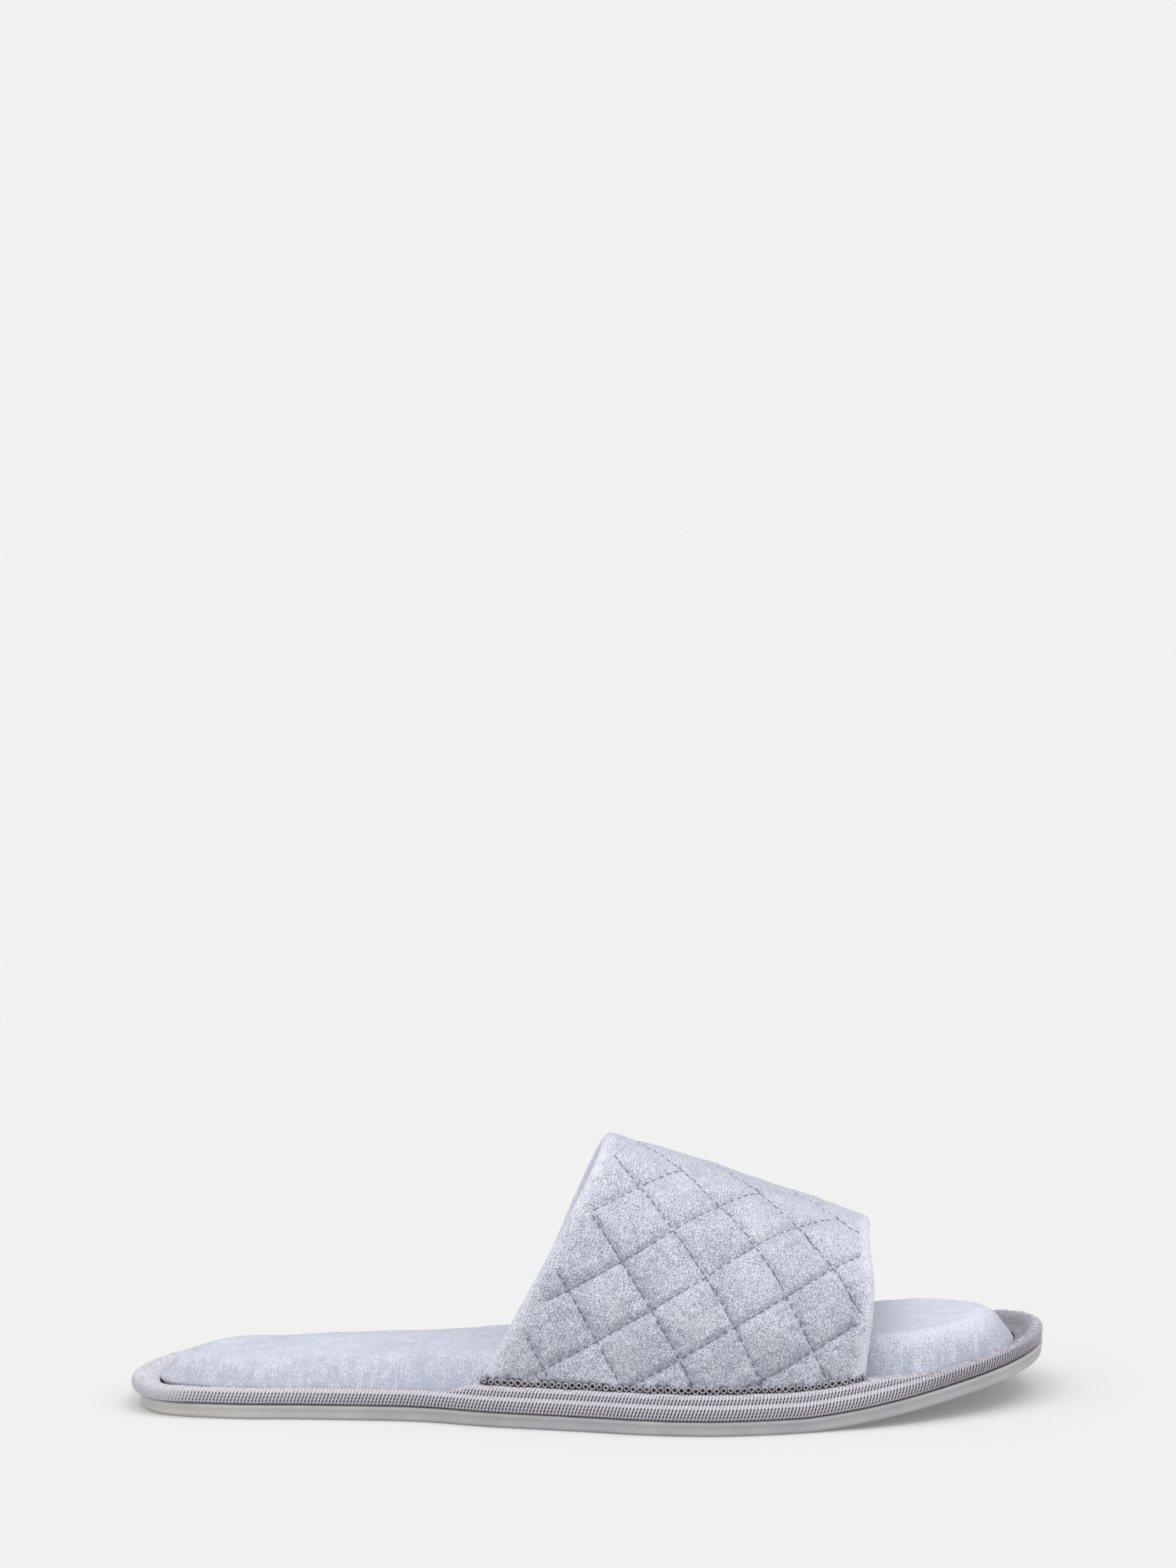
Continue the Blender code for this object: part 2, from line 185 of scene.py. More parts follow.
# Painted light on the sole's wall towards the heel: its share at the heel, and its run
HEEL_PAINTED_LIGHT = 0.9
HEEL_PAINTED_LIGHT_RUN = 110 * MM

# Steps of the sole's side under its lip. Columns: shares of OUTSOLE_LIP_STEP down and outwards
LIP_FOOT = ((1.0, 0.0), (0.4, 0.7), (0.0, 1.0))

# Top of the sole's edge, from the lip in under the tape. Columns: metres down and inwards
SOLE_TOP = (
    (0.26 * MM, -OUTSOLE_LIP_STEP),
    (0.10 * MM, 0.2 * MM - OUTSOLE_LIP_STEP),
    (0.08 * MM, 1.8 * MM),
    (0.00, 2.0 * MM),
)

# What changes near both ends. Columns: where it starts to fade from the heel on, the fade's run,
# how far before the toe it starts to come back, and that run
PAD_ENDS = (8 * MM, 14 * MM, 24 * MM, 14 * MM)
RAMP_ENDS = (14 * MM, 26 * MM, 40 * MM, 24 * MM)
NOTCH_ENDS = (8 * MM, 16 * MM, 9 * MM, 8 * MM)
SHADE_ENDS = (10 * MM, 60 * MM, 45 * MM, 20 * MM)

# Notches on the tape are faint up to a place from the heel, then grow over a run. Columns:
# start, run, share of a whole notch while faint
FAINT_NOTCHES = (50 * MM, 50 * MM, 0.4)

# Painted shade on the tape: its share at the toe and in the valley there, and at the heel a share
# below nought that makes the tape paler
TAPE_SHADE_SHARES = (0.38, 0.30, -0.12)

# One quilting stitch. Columns: share of half its length ahead, metres out, share of its radius
STITCH_PROFILE = (
    (-1.0, -0.25 * MM, 0.5),
    (-0.6, 0.02 * MM, 1.0),
    (0.0, 0.10 * MM, 1.1),
    (0.6, 0.02 * MM, 1.0),
    (1.0, -0.25 * MM, 0.5),
)

# Low waves of the padded insole. Columns: height, size, seed
PAD_WAVES = ((0.30 * MM, 38 * MM, 5), (0.10 * MM, 9 * MM, 6))

# Drift of the two sets of stitch lines where the cloth is stretched, in cells. Columns: constant,
# along, down, along squared, along x down, down squared. Lengths are in tenths of a metre
DRIFT_DOWN_TOE = (0.041, 0.394, -0.284, -0.849, 0.108, 0.055)
DRIFT_DOWN_HEEL = (0.068, -0.371, 0.348, 0.514, -0.356, -0.517)

# Plan outline of the tape's outer edge. Columns: share of LENGTH from the heel, centre line
# as a share of BALL_WIDTH (plus is the big-toe side), fullness from 0 (HEEL_WIDTH) to 1 (BALL_WIDTH)
OUTLINE = (
    (0.00, -0.150, -0.05),
    (0.08, -0.035, -0.03),
    (0.15, -0.003, 0.00),
    (0.24, 0.002, 0.03),
    (0.32, 0.000, 0.09),
    (0.40, -0.013, 0.34),
    (0.49, -0.010, 0.61),
    (0.57, -0.006, 0.88),
    (0.64, 0.004, 0.99),
    (0.71, 0.026, 0.93),
    (0.79, 0.062, 0.76),
    (0.86, 0.094, 0.60),
    (0.92, 0.116, 0.50),
    (1.00, 0.125, 0.44),
)

# Height of the padded insole. Columns: share of LENGTH, share of PAD_CROWN
CROWN = (
    (0.00, 0.64),
    (0.12, 0.58),
    (0.28, 0.79),
    (0.42, 0.99),
    (0.60, 1.02),
    (0.80, 1.33),
    (0.92, 1.04),
    (1.00, 0.74),
)

# Flank of the padded insole. Columns: share of its run inwards, share of the crown's height
FLANK = (
    (0.00, 0.00),
    (0.06, 0.12),
    (0.14, 0.24),
    (0.24, 0.41),
    (0.38, 0.63),
    (0.56, 0.83),
    (0.78, 0.965),
    (0.92, 0.997),
    (1.00, 1.00),
)

# Section of the tape's outside, from its foot up and over to its inner edge. Columns: share of
# TAPE_WIDTH inwards, share of TAPE_HEIGHT up, share of TAPE_BEAD_HEIGHT added beside the band
TAPE_SECTION = (
    (0.100, 0.00, 0.00),
    (0.020, 0.15, 0.00),
    (0.000, 0.42, 0.00),
    (0.015, 0.68, 0.00),
    (0.080, 0.87, 0.00),
    (0.155, 0.94, 0.16),
    (0.165, 0.97, 0.55),
    (0.260, 0.99, 0.90),
    (0.500, 1.00, 1.00),
    (0.800, 0.98, 1.00),
    (1.000, 0.93, 1.00),
)

# The same section where no band stands on it: a round rim that falls away to the insole
RIM_SECTION = (
    (0.120, 0.02),
    (0.020, 0.17),
    (0.000, 0.42),
    (0.015, 0.68),
    (0.075, 0.88),
    (0.155, 0.97),
    (0.210, 1.00),
    (0.330, 1.00),
    (0.520, 0.93),
    (0.780, 0.76),
    (1.000, 0.56),
)

# Fineness of the surfaces
FRAME_STATIONS = 36
EDGE_STATIONS = 4000
STATIONS = 520
SOLE_COLUMNS = 130
PAD_STATIONS = 260
PAD_FLANK_ROWS = 34
PAD_COLUMNS = 60
SAMPLES_PER_RIB = 5
TAPE_ROWS = 22
BAND_ROWS = 170
HEM_ROWS = 10
LINING_ROWS = 60
BAND_COLUMNS = 290
WAVES = 22


def ease(share):
    """Smooth step: 0 up to 0, 1 from 1 on, level at both ends."""
    share = np.clip(share, 0.0, 1.0)
    return share * share * (3 - 2 * share)


def mix(a, b, share):
    """Straight blend from a to b."""
    return a + (b - a) * share


def curve(table, at, column=1):
    """Smooth line through one column of a table: cubic Hermite spans with central slopes."""
    rows = np.array(table)
    keys, values = rows[:, 0], rows[:, column]
    index = np.arange(len(keys))
    before, after = np.maximum(index - 1, 0), np.minimum(index + 1, len(keys) - 1)
    slopes = (values[after] - values[before]) / (keys[after] - keys[before])
    at = np.clip(at, keys[0], keys[-1])
    span = np.clip(np.searchsorted(keys, at, side="right") - 1, 0, len(keys) - 2)
    width = keys[span + 1] - keys[span]
    share = (at - keys[span]) / width
    square, cube = share**2, share**3
    return (
        (2 * cube - 3 * square + 1) * values[span]
        + (cube - 2 * square + share) * width * slopes[span]
        + (3 * square - 2 * cube) * values[span + 1]
        + (cube - square) * width * slopes[span + 1]
    )


def end_rounding(distance, run, bluntness):
    """Share of full width left near a rounded end: a superellipse over the run."""
    left = np.clip(1 - np.maximum(distance, 0) / run, 0, 1)
    return (1 - left**bluntness) ** (1 / bluntness)


def ripples(x, y, size, seed):
    """Uneven field of about -1 to 1: a sum of plane waves, size metres long, from a seeded draw."""
    draw = np.random.default_rng(seed)
    heading = draw.uniform(0, 2 * np.pi, WAVES)
    number = 2 * np.pi / (size * draw.uniform(0.6, 1.6, WAVES))
    phase = draw.uniform(0, 2 * np.pi, WAVES)
    total = np.zeros(np.broadcast(x, y).shape)
    for h, n, p in zip(heading, number, phase):
        total += np.sin(n * (np.cos(h) * x + np.sin(h) * y) + p)
    return total / math.sqrt(WAVES)


def rise(x):
    """Height of the sole's underside over the floor, x metres from the heel."""
    toe = np.maximum(0.0, x - (LENGTH - TOE_SPRING_RUN)) / TOE_SPRING_RUN
    heel = np.maximum(0.0, HEEL_SPRING_RUN - x) / HEEL_SPRING_RUN
    return TOE_SPRING * toe**TOE_SPRING_POWER + HEEL_SPRING * heel**2


def near_ends(x, heel, heel_run, toe, toe_run):
    """Two shares: 1 at the heel and 1 at the toe's end, each faded to 0 towards the middle."""
    return 1 - ease((x - heel) / heel_run), ease((x - (LENGTH - toe)) / toe_run)


def unit(vectors):
    """Vectors brought to length 1."""
    return vectors / np.linalg.norm(vectors, axis=-1, keepdims=True)


def run_along(path):
    """Distance from a path's start to each of its points."""
    return np.concatenate([[0], np.cumsum(np.linalg.norm(np.diff(path, axis=0), axis=1))])


def read_at(at, run, values):
    """Rows of values read at distances along a path."""
    return np.stack([np.interp(at, run, column) for column in values.T], 1)


def sides(x, inset=0.0, heel_inset=None, toe_inset=None):
    """(little-toe side, big-toe side) y of the outline drawn in by an inset."""
    heel_inset = inset if heel_inset is None else heel_inset
    toe_inset = inset if toe_inset is None else toe_inset
    along = x / LENGTH
    centre = curve(OUTLINE, along, 1) * BALL_WIDTH
    fullness = curve(OUTLINE, along, 2)
    half = (HEEL_WIDTH + fullness * (BALL_WIDTH - HEEL_WIDTH)) / 2 - inset
    half = half * end_rounding(x - heel_inset, HEEL_ROUND - heel_inset, HEEL_BLUNTNESS)
    half = half * end_rounding(LENGTH - toe_inset - x, TOE_ROUND - toe_inset, TOE_BLUNTNESS)
    return centre - half, centre + half


def stations(count, heel_inset, toe_inset):
    """x of count steps from heel to toe, closer together at both ends (a cosine)."""
    share = (1 - np.cos(np.pi * np.arange(count + 1) / count)) / 2
    return heel_inset + (LENGTH - heel_inset - toe_inset) * share


# Moves heel-based places so that the origin is under the middle of the frame's box
LOW_SIDE, HIGH_SIDE = sides(stations(FRAME_STATIONS, 0.0, 0.0))
SHIFT = np.array([-LENGTH / 2, -(LOW_SIDE.min() + HIGH_SIDE.max()) / 2, 0.0])


def grid_faces(rows, columns, wrap_rows=False, wrap_columns=False):
    """Quads of a rows by columns grid, and each corner's row and column before wrapping."""
    i, j = np.meshgrid(
        np.arange(rows if wrap_rows else rows - 1),
        np.arange(columns if wrap_columns else columns - 1),
        indexing="ij",
    )
    i, j = i.ravel(), j.ravel()
    corner_rows = np.stack([i, i, i + 1, i + 1], 1)
    corner_columns = np.stack([j, j + 1, j + 1, j], 1)
    faces = (corner_rows % rows) * columns + corner_columns % columns
    return faces, corner_rows, corner_columns


def signed_volume(points, faces):
    """Volume inside a closed mesh of quads, negative when it is inside out."""
    a, b, c, d = (points[faces[:, k]] for k in range(4))
    first = np.einsum("ij,ij->i", a, np.cross(b, c))
    second = np.einsum("ij,ij->i", a, np.cross(c, d))
    return (first.sum() + second.sum()) / 6


def new_object(name, data):
    """An object of some data, linked to the scene."""
    made = bpy.data.objects.new(name, data)
    bpy.context.scene.collection.objects.link(made)
    return made


def make_piece(name, points, faces, material, uv=None, marks=None, replaces=None):
    """Closed mesh of quads as a named piece that rides on the slipper, facing outwards.

    points are heel-based places, faces are rows of four indexes, uv has one pair a corner, and
    marks has named values with one a point, which materials read. A face with one corner twice
    becomes a triangle.
    """
    points = np.ascontiguousarray(points.reshape(-1, 3) + SHIFT)
    if signed_volume(points, faces) < 0:
        faces = faces[:, ::-1]
        uv = None if uv is None else uv[:, ::-1]
    kept = faces != np.roll(faces, 1, axis=1)
    sizes = kept.sum(1)
    mesh = bpy.data.meshes.new(name)
    mesh.vertices.add(len(points))
    mesh.vertices.foreach_set("co", points.ravel())
    mesh.loops.add(int(sizes.sum()))
    mesh.loops.foreach_set("vertex_index", faces[kept])
    mesh.polygons.add(len(faces))
    mesh.polygons.foreach_set("loop_start", np.cumsum(sizes) - sizes)
    if uv is not None:
        layer = mesh.uv_layers.new(name="cut")
        layer.data.foreach_set("uv", uv[kept].ravel())
    for mark, values in (marks or {}).items():
        layer = mesh.attributes.new(mark, "FLOAT", "POINT")
        layer.data.foreach_set("value", np.asarray(values, np.float32).ravel())
    mesh.update(calc_edges=True)
    mesh.validate()
    mesh.shade_smooth()
    mesh.materials.append(material)
    piece = new_object(name, mesh)
    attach(piece, "root")
    if replaces:
        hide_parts(replaces)


def linear(text):
    """sRGB hex to the linear colour that shaders take."""
    values = np.array([int(text[i : i + 2], 16) for i in (1, 3, 5)]) / 255
    return (*np.where(values <= 0.04045, values / 12.92, ((values + 0.055) / 1.055) ** 2.4), 1.0)


def add_node(tree, kind, inputs=(), output=0, stops=(), **settings):
    """Adds a node with its settings, links and colour stops, and returns one of its outputs.

    Inputs are sockets or values, in order or by name. A stop is a place and a hex colour.
    """
    made = tree.nodes.new("ShaderNode" + kind)
    for key, value in settings.items():
        setattr(made, key, value)
    for socket, value in inputs.items() if isinstance(inputs, dict) else enumerate(inputs):
        if isinstance(value, bpy.types.NodeSocket):
            tree.links.new(value, made.inputs[socket])
        else:
            made.inputs[socket].default_value = value
    if stops:
        elements = made.color_ramp.elements
        while len(elements) < len(stops):
            elements.new(0.5)
        for element, (place, colour) in zip(elements, stops):
            element.position = place
            element.color = linear(colour)
    return made.outputs[output]


def new_material(name):
    """An empty node material, its tree, and add_node on that tree."""
    material = bpy.data.materials.new(name)
    material.use_nodes = True
    tree = material.node_tree
    tree.nodes.clear()
    return material, tree, partial(add_node, tree)


def finish_material(tree, inputs, height=None, strength=0.0, depth=0.0):
    """Principled shader on the surface, dented by height to a depth where there is one."""
    if height is not None:
        dents = {"Height": height, "Strength": strength, "Distance": depth}
        inputs["Normal"] = add_node(tree, "Bump", dents)
    output = tree.nodes.new("ShaderNodeOutputMaterial")
    tree.links.new(add_node(tree, "BsdfPrincipled", inputs), output.inputs["Surface"])


def weigh(add, total, *terms):
    """The total plus the product of each pair."""
    for value, share in terms:
        total = add("Math", (value, share, total), operation="MULTIPLY_ADD")
    return total


WALE_PITCH = 0.9 * MM
COURSE_PITCH = 0.8 * MM
KNIT_WOBBLE = 1.6 * MM

# Patterns of the velour's pile. Columns: size, detail, roughness
PILE = {
    "wobble": (3.2 * MM, 2.0, 0.5),
    "tufts": (0.42 * MM, 2.0, 0.65),
    "streaks": (2.6 * MM, 3.0, 0.6),
    "clouds": (14 * MM, 2.0, 0.5),
    "flecks": (1.0 * MM, 2.0, 0.6),
}

# Tone of the pile, and the painted shade added to it where the shading mark is set (painted light
# where that mark is below nought): a start, and the share of each pattern. The fold share is a
# painted highlight along the rolled hems
PILE_TONE = (
    -0.73,
    {"knit": 0.10, "tufts": 1.72, "streaks": 0.26, "clouds": 0.22, "flecks": 0.26, "fold": 0.24},
)
PAINTED_SHADE_TONE = (-1.65, {"streaks": 1.0, "clouds": 0.6, "tufts": 0.6})


def velour(name, on_cut, stops, stretches, pile_bump):
    """Cotton-rich knitted velour, cut pile: soft, matt, heathered, with a pale rim of nap.

    The knit shows as wales and courses under a pile of fine tufts. Darker yarn shows between
    the tufts, in streaks and in wide soft clouds. The shading mark paints shade in these patterns,
    and light where it is below nought; the sewn margin is painted near black as shade, and the
    hem mark paints a highlight along the rolled hems. stretches has X, Y and Z shares for some
    patterns.
    ("worn"), and in the sewn margin. stretches has X, Y and Z shares for some patterns.
    """
    material, tree, add = new_material(name)
    place = add("TexCoord", output="Object")
    patterns = {}
    for pattern, (size, detail, rough) in PILE.items():
        stretched = {0: place, "Scale": stretches.get(pattern, (1, 1, 1))}
        patterns[pattern] = add(
            "TexNoise",
            {0: add("Mapping", stretched), "Scale": 1 / size, "Detail": detail, "Roughness": rough},
        )
    for mark in ("fold", "painted_shading", "seam"):
        patterns[mark] = add("Attribute", output="Fac", attribute_name=mark)

    knit_place = add("UVMap", uv_map="cut") if on_cut else place
    axes = add("SeparateXYZ", (knit_place,)).node.outputs
    patterns["knit"] = 0.0
    for axis, pitch, share in (("X", WALE_PITCH, 0.6), ("Y", COURSE_PITCH, 0.4)):
        strayed = weigh(add, axes[axis], (patterns["wobble"], KNIT_WOBBLE))
        turned = weigh(add, -math.pi * KNIT_WOBBLE / pitch, (strayed, 2 * math.pi / pitch))
        wave = add("Math", (turned,), operation="SINE")
        patterns["knit"] = weigh(add, patterns["knit"], (wave, share))

    def toned(tone):
        return weigh(add, tone[0], *((patterns[key], share) for key, share in tone[1].items()))

    height = weigh(add, patterns["tufts"], (patterns["knit"], PILE_TONE[1]["knit"]))
    # Painted shade from the shading mark, as darker streaks, clouds and tufts; painted light where it
    # is below nought
    tone = weigh(add, toned(PILE_TONE), (patterns["painted_shading"], toned(PAINTED_SHADE_TONE)))
    dyed = add("ValToRGB", (tone,), stops=stops)
    # Painted shade: near black along the seams, for the recess behind the overlock loops
    mixed = {0: patterns["seam"], 6: dyed, 7: linear("#26232B")}
    finish_material(
        tree,
        {
            "Base Color": add("Mix", mixed, output=2, data_type="RGBA"),
            "Roughness": 0.95,
            "Specular IOR Level": 0.15,
            "Sheen Weight": 0.9,
            "Sheen Roughness": 0.4,
            "Sheen Tint": linear("#E8ECFA"),
        },
        height,
        pile_bump,
        0.45 * MM,
    )
    return material


# Rows of notches on the tape. Columns: height over the tape's foot, half height, in metres
NOTCH_ROWS = (
    (0.20 * MM, 0.30 * MM),
    (1.20 * MM, 0.42 * MM),
    (2.15 * MM, 0.42 * MM),
    (3.05 * MM, 0.40 * MM),
    (4.75 * MM, 0.40 * MM),
    (5.65 * MM, 0.36 * MM),
    (6.45 * MM, 0.30 * MM),
)
YARN_LENGTH = 0.5 * MM
YARN_WIDTH = 0.25 * MM


def ribbed_tape(name):
    """Polyester fold-over tape, warp-knitted: warm grey satin ribs with rows of dark notches.

    The cut's first axis runs along the tape and its second runs up its outside, in metres.
    A notch is where a gap between two ribs crosses a row.
    """
    material, tree, add = new_material(name)
    place = add("UVMap", uv_map="cut")
    axes = add("SeparateXYZ", (place,)).node.outputs
    slanted = weigh(add, axes["X"], (axes["Y"], -RIB_SLANT))
    rib = add("Math", (weigh(add, 0.0, (slanted, 2 * math.pi / RIB_PITCH)),), operation="COSINE")
    gap = add("Math", (weigh(add, -0.35, (rib, -1.6)), 1.0, 0.2), operation="SMOOTH_MIN")
    gap = add("Math", (gap, 0.0), operation="MAXIMUM")
    rows = 0.0
    for height, half in NOTCH_ROWS:
        off = add("Math", (weigh(add, -height, (axes["Y"], 1.0)),), operation="ABSOLUTE")
        pulse = add("Math", (off, -2.0 / half, 2.0), operation="MULTIPLY_ADD", use_clamp=True)
        rows = add("Math", (rows, pulse), operation="MAXIMUM")
    # The recess mark is painted shade at the toe and in the valley there, and paler tape at the heel
    notched, recess = (
        add("Attribute", output="Fac", attribute_name=mark) for mark in ("notched", "recess")
    )
    notch = weigh(add, 0.0, (weigh(add, 0.0, (gap, rows)), notched))
    stretched = add("Mapping", {0: place, "Scale": (1 / YARN_LENGTH, 1 / YARN_WIDTH, 1)})
    yarn = add("TexNoise", {0: stretched, "Scale": 1.0, "Detail": 2.0, "Roughness": 0.6})
    # The rib term is a painted highlight on the ribs' crests, with painted shade between them
    tone = weigh(add, 0.0, (yarn, 0.9), (rib, 0.08), (notch, -1.3), (recess, -0.30))
    stops = ((0.0, "#1E1B24"), (0.20, "#6C6872"), (0.42, "#B0ACB5"), (0.72, "#DEDBE2"))
    finish_material(
        tree,
        {
            "Base Color": add("ValToRGB", (tone,), stops=stops),
            "Roughness": 0.62,
            "Specular IOR Level": 0.35,
            "Sheen Weight": 0.25,
            "Sheen Roughness": 0.4,
        },
        weigh(add, 0.0, (yarn, 0.35), (notch, -1.0)),
        0.6,
        0.25 * MM,
    )
    return material


def foam_rubber(name):
    """Injection-moulded foamed rubber, satin: plain mid grey with a faint moulded mottle.

    The thin lip's top is a warmer and paler grey; towards the heel the wall is lightened with that
    colour as painted light.
    """
    material, tree, add = new_material(name)
    place = add("TexCoord", output="Object")
    grain = add("TexNoise", {0: place, "Scale": 1 / (0.35 * MM), "Detail": 2.0})
    mottle = add("TexNoise", {0: place, "Scale": 1 / (9 * MM), "Detail": 3.0})
    tone = weigh(add, 0.0, (mottle, 0.75), (grain, 0.25))
    plain = add(
        "ValToRGB", (tone,), stops=((0.25, "#A8A8AA"), (0.5, "#B3B3B5"), (0.8, "#BFBFC0"))
    )
    # Paler lip line, and painted light on the wall towards the heel
    paler_lip_and_heel_light = weigh(add, 0.0, (add("Attribute", output="Fac", attribute_name="paler_lip_and_heel_light"), 0.5))
    mixed = {0: paler_lip_and_heel_light, 6: plain, 7: linear("#E2DFD6")}
    finish_material(
        tree,
        {
            "Base Color": add("Mix", mixed, output=2, data_type="RGBA"),
            "Roughness": 0.52,
            "IOR": 1.5,
            "Specular IOR Level": 0.4,
        },
        grain,
        0.25,
        0.08 * MM,
    )
    return material


def thread(name, colour, roughness):
    """Spun polyester sewing thread: soft gloss, with its twist as fine bands."""
    material, tree, add = new_material(name)
    banded = {0: add("TexCoord", output="Object"), "Scale": 1 / (1.2 * MM), "Distortion": 2.0}
    twist = add("TexWave", banded, output="Fac", bands_direction="DIAGONAL")
    finish_material(
        tree,
        {"Base Color": linear(colour), "Roughness": roughness, "Sheen Weight": 0.2},
        twist,
        0.4,
        0.05 * MM,
    )
    return material


def ring(count, height, insets):
    """Loop round the sole: the little-toe side from heel to toe, then the big-toe side back.

    height is metres over the sole's underside. insets are those at the side, heel and toe.
    """
    x = stations(count, *insets[1:])
    low, high = sides(x, *insets)
    up = rise(x) + height
    little = np.stack([x, low, up], 1)
    big = np.stack([x, high, up], 1)
    return np.concatenate([little, big[-2:0:-1]])


def across(loop, columns):
    """Grid over the area inside a loop: each station's two sides joined by a straight row.

    The two end stations are points, so their rows hold one place repeated.
    """
    half = len(loop) // 2
    little = loop[: half + 1]
    big = np.concatenate([loop[:1], loop[: half - 1 : -1]])
    share = np.linspace(0, 1, columns + 1)[None, :, None]
    return little[:, None] * (1 - share) + big[:, None] * share


def closed_by_grids(loops, bottom, top):
    """Points and quads of a wall of loops, closed below and above by grids from across().

    The grids' rims are the loops' own points. At the two tips their quads have one corner twice.
    """
    count = loops[0].shape[0]
    wall = np.concatenate(loops)
    faces, _, _ = grid_faces(len(loops), count, wrap_columns=True)
    parts, every = [wall], [faces]
    offset = len(wall)
    for grid, loop_row in ((bottom, 0), (top, len(loops) - 1)):
        rows, columns = grid.shape[:2]
        index = np.empty((rows, columns), int)
        half = count // 2
        start = loop_row * count
        index[:, 0] = start + np.arange(half + 1)
        index[1:-1, -1] = start + count - np.arange(1, half)
        index[0, :] = start
        index[-1, :] = start + half
        inner = grid[1:-1, 1:-1].reshape(-1, 3)
        index[1:-1, 1:-1] = offset + np.arange(len(inner)).reshape(rows - 2, columns - 2)
        corners = [index[:-1, :-1], index[:-1, 1:], index[1:, 1:], index[1:, :-1]]
        quads = np.stack(corners, -1).reshape(-1, 4)
        if loop_row > 0:
            quads = quads[:, ::-1]
        parts.append(inner)
        every.append(quads)
        offset += len(inner)
    return np.concatenate(parts), np.concatenate(every)


def make_outsole(material):
    """Moulded sole: rounded lower edge, straight wall, thin lip, and nubs underneath.

    The underside is a recess inside a plain border. Round nubs on a staggered grid stand in
    it, level with the border: depth = recess x (1 - nub), nub = smooth disc of the distance to
    the nearest grid point.
    """
    setbacks = (OUTSOLE_SETBACK_SIDE, OUTSOLE_SETBACK_HEEL, OUTSOLE_SETBACK_TOE)

    def level(height, drawn_in):
        return ring(STATIONS, height, [setback + drawn_in for setback in setbacks])

    turns = np.linspace(0, np.pi / 2, 6)
    lip_foot = OUTSOLE_THICKNESS - OUTSOLE_LIP_HEIGHT
    loops = [
        level(OUTSOLE_EDGE_ROUND * (1 - math.sin(a)), OUTSOLE_EDGE_ROUND * (1 - math.cos(a)))
        for a in turns[::-1]
    ]
    for down, out in LIP_FOOT:
        loops.append(level(lip_foot - down * OUTSOLE_LIP_STEP, -out * OUTSOLE_LIP_STEP))
    loops += [level(OUTSOLE_THICKNESS - down, inwards) for down, inwards in SOLE_TOP]
    under = across(loops[0], SOLE_COLUMNS)
    x, y = under[..., 0], under[..., 1]
    low, high = sides(x, *setbacks)
    from_edge = np.minimum.reduce([y - low, high - y, x - OUTSOLE_SETBACK_HEEL, LENGTH - x])
    row = np.round(y / (NUB_PITCH * math.sqrt(3) / 2))
    stagger = (row % 2) * NUB_PITCH / 2
    off_x = x - stagger - np.round((x - stagger) / NUB_PITCH) * NUB_PITCH
    off_y = y - row * NUB_PITCH * math.sqrt(3) / 2
    nub = 1 - ease((np.hypot(off_x, off_y) - NUB_RADIUS) / NUB_ROUND + 0.5)
    recess = ease((from_edge - TREAD_BORDER) / TREAD_ROUND)
    under[..., 2] += TREAD_DEPTH * recess * (1 - nub)
    points, faces = closed_by_grids(loops, under, across(loops[-1], 2))
    # Painted light on the wall, fading from the heel; the lip's top row is made fully pale
    wall = np.tile(HEEL_PAINTED_LIGHT * (1 - ease(loops[0][:, 0] / HEEL_PAINTED_LIGHT_RUN)), (len(loops), 1))
    wall[1 - len(SOLE_TOP)] = 1
    paler_lip_and_heel_light = np.zeros(len(points))
    paler_lip_and_heel_light[: wall.size] = wall.ravel()
    marks = {"paler_lip_and_heel_light": paler_lip_and_heel_light}
    make_piece("sole_unit", points, faces, material, None, marks, "outsole")


def bead(x):
    """Share of the taller bead, x metres from the heel: whole beside the band, faded past it."""
    coming = ease((x - BAND_SEAM_BACK + BEAD_LEAD) / BEAD_FADE_BACK + 1)
    going = ease((x - BAND_SEAM_FRONT - BEAD_LEAD) / BEAD_FADE_FRONT)
    return coming * (1 - going)


def edge_path():
    """The tape's outer edge in equal steps, five to a rib: places, inward normals and length.

    Both sides of the outline are read at dense stations, joined into one loop and read again
    at equal steps of its length.
    """
    loop = ring(EDGE_STATIONS, 0.0, (0.0, 0.0, 0.0))[:, :2]
    closed = np.vstack([loop, loop[:1]])
    run = run_along(closed)
    count = SAMPLES_PER_RIB * round(run[-1] / RIB_PITCH)
    place = read_at(np.arange(count) * run[-1] / count, run, closed)
    ahead = unit(np.roll(place, -3, axis=0) - np.roll(place, 3, axis=0))
    return place, np.stack([-ahead[:, 1], ahead[:, 0]], 1), run[-1]


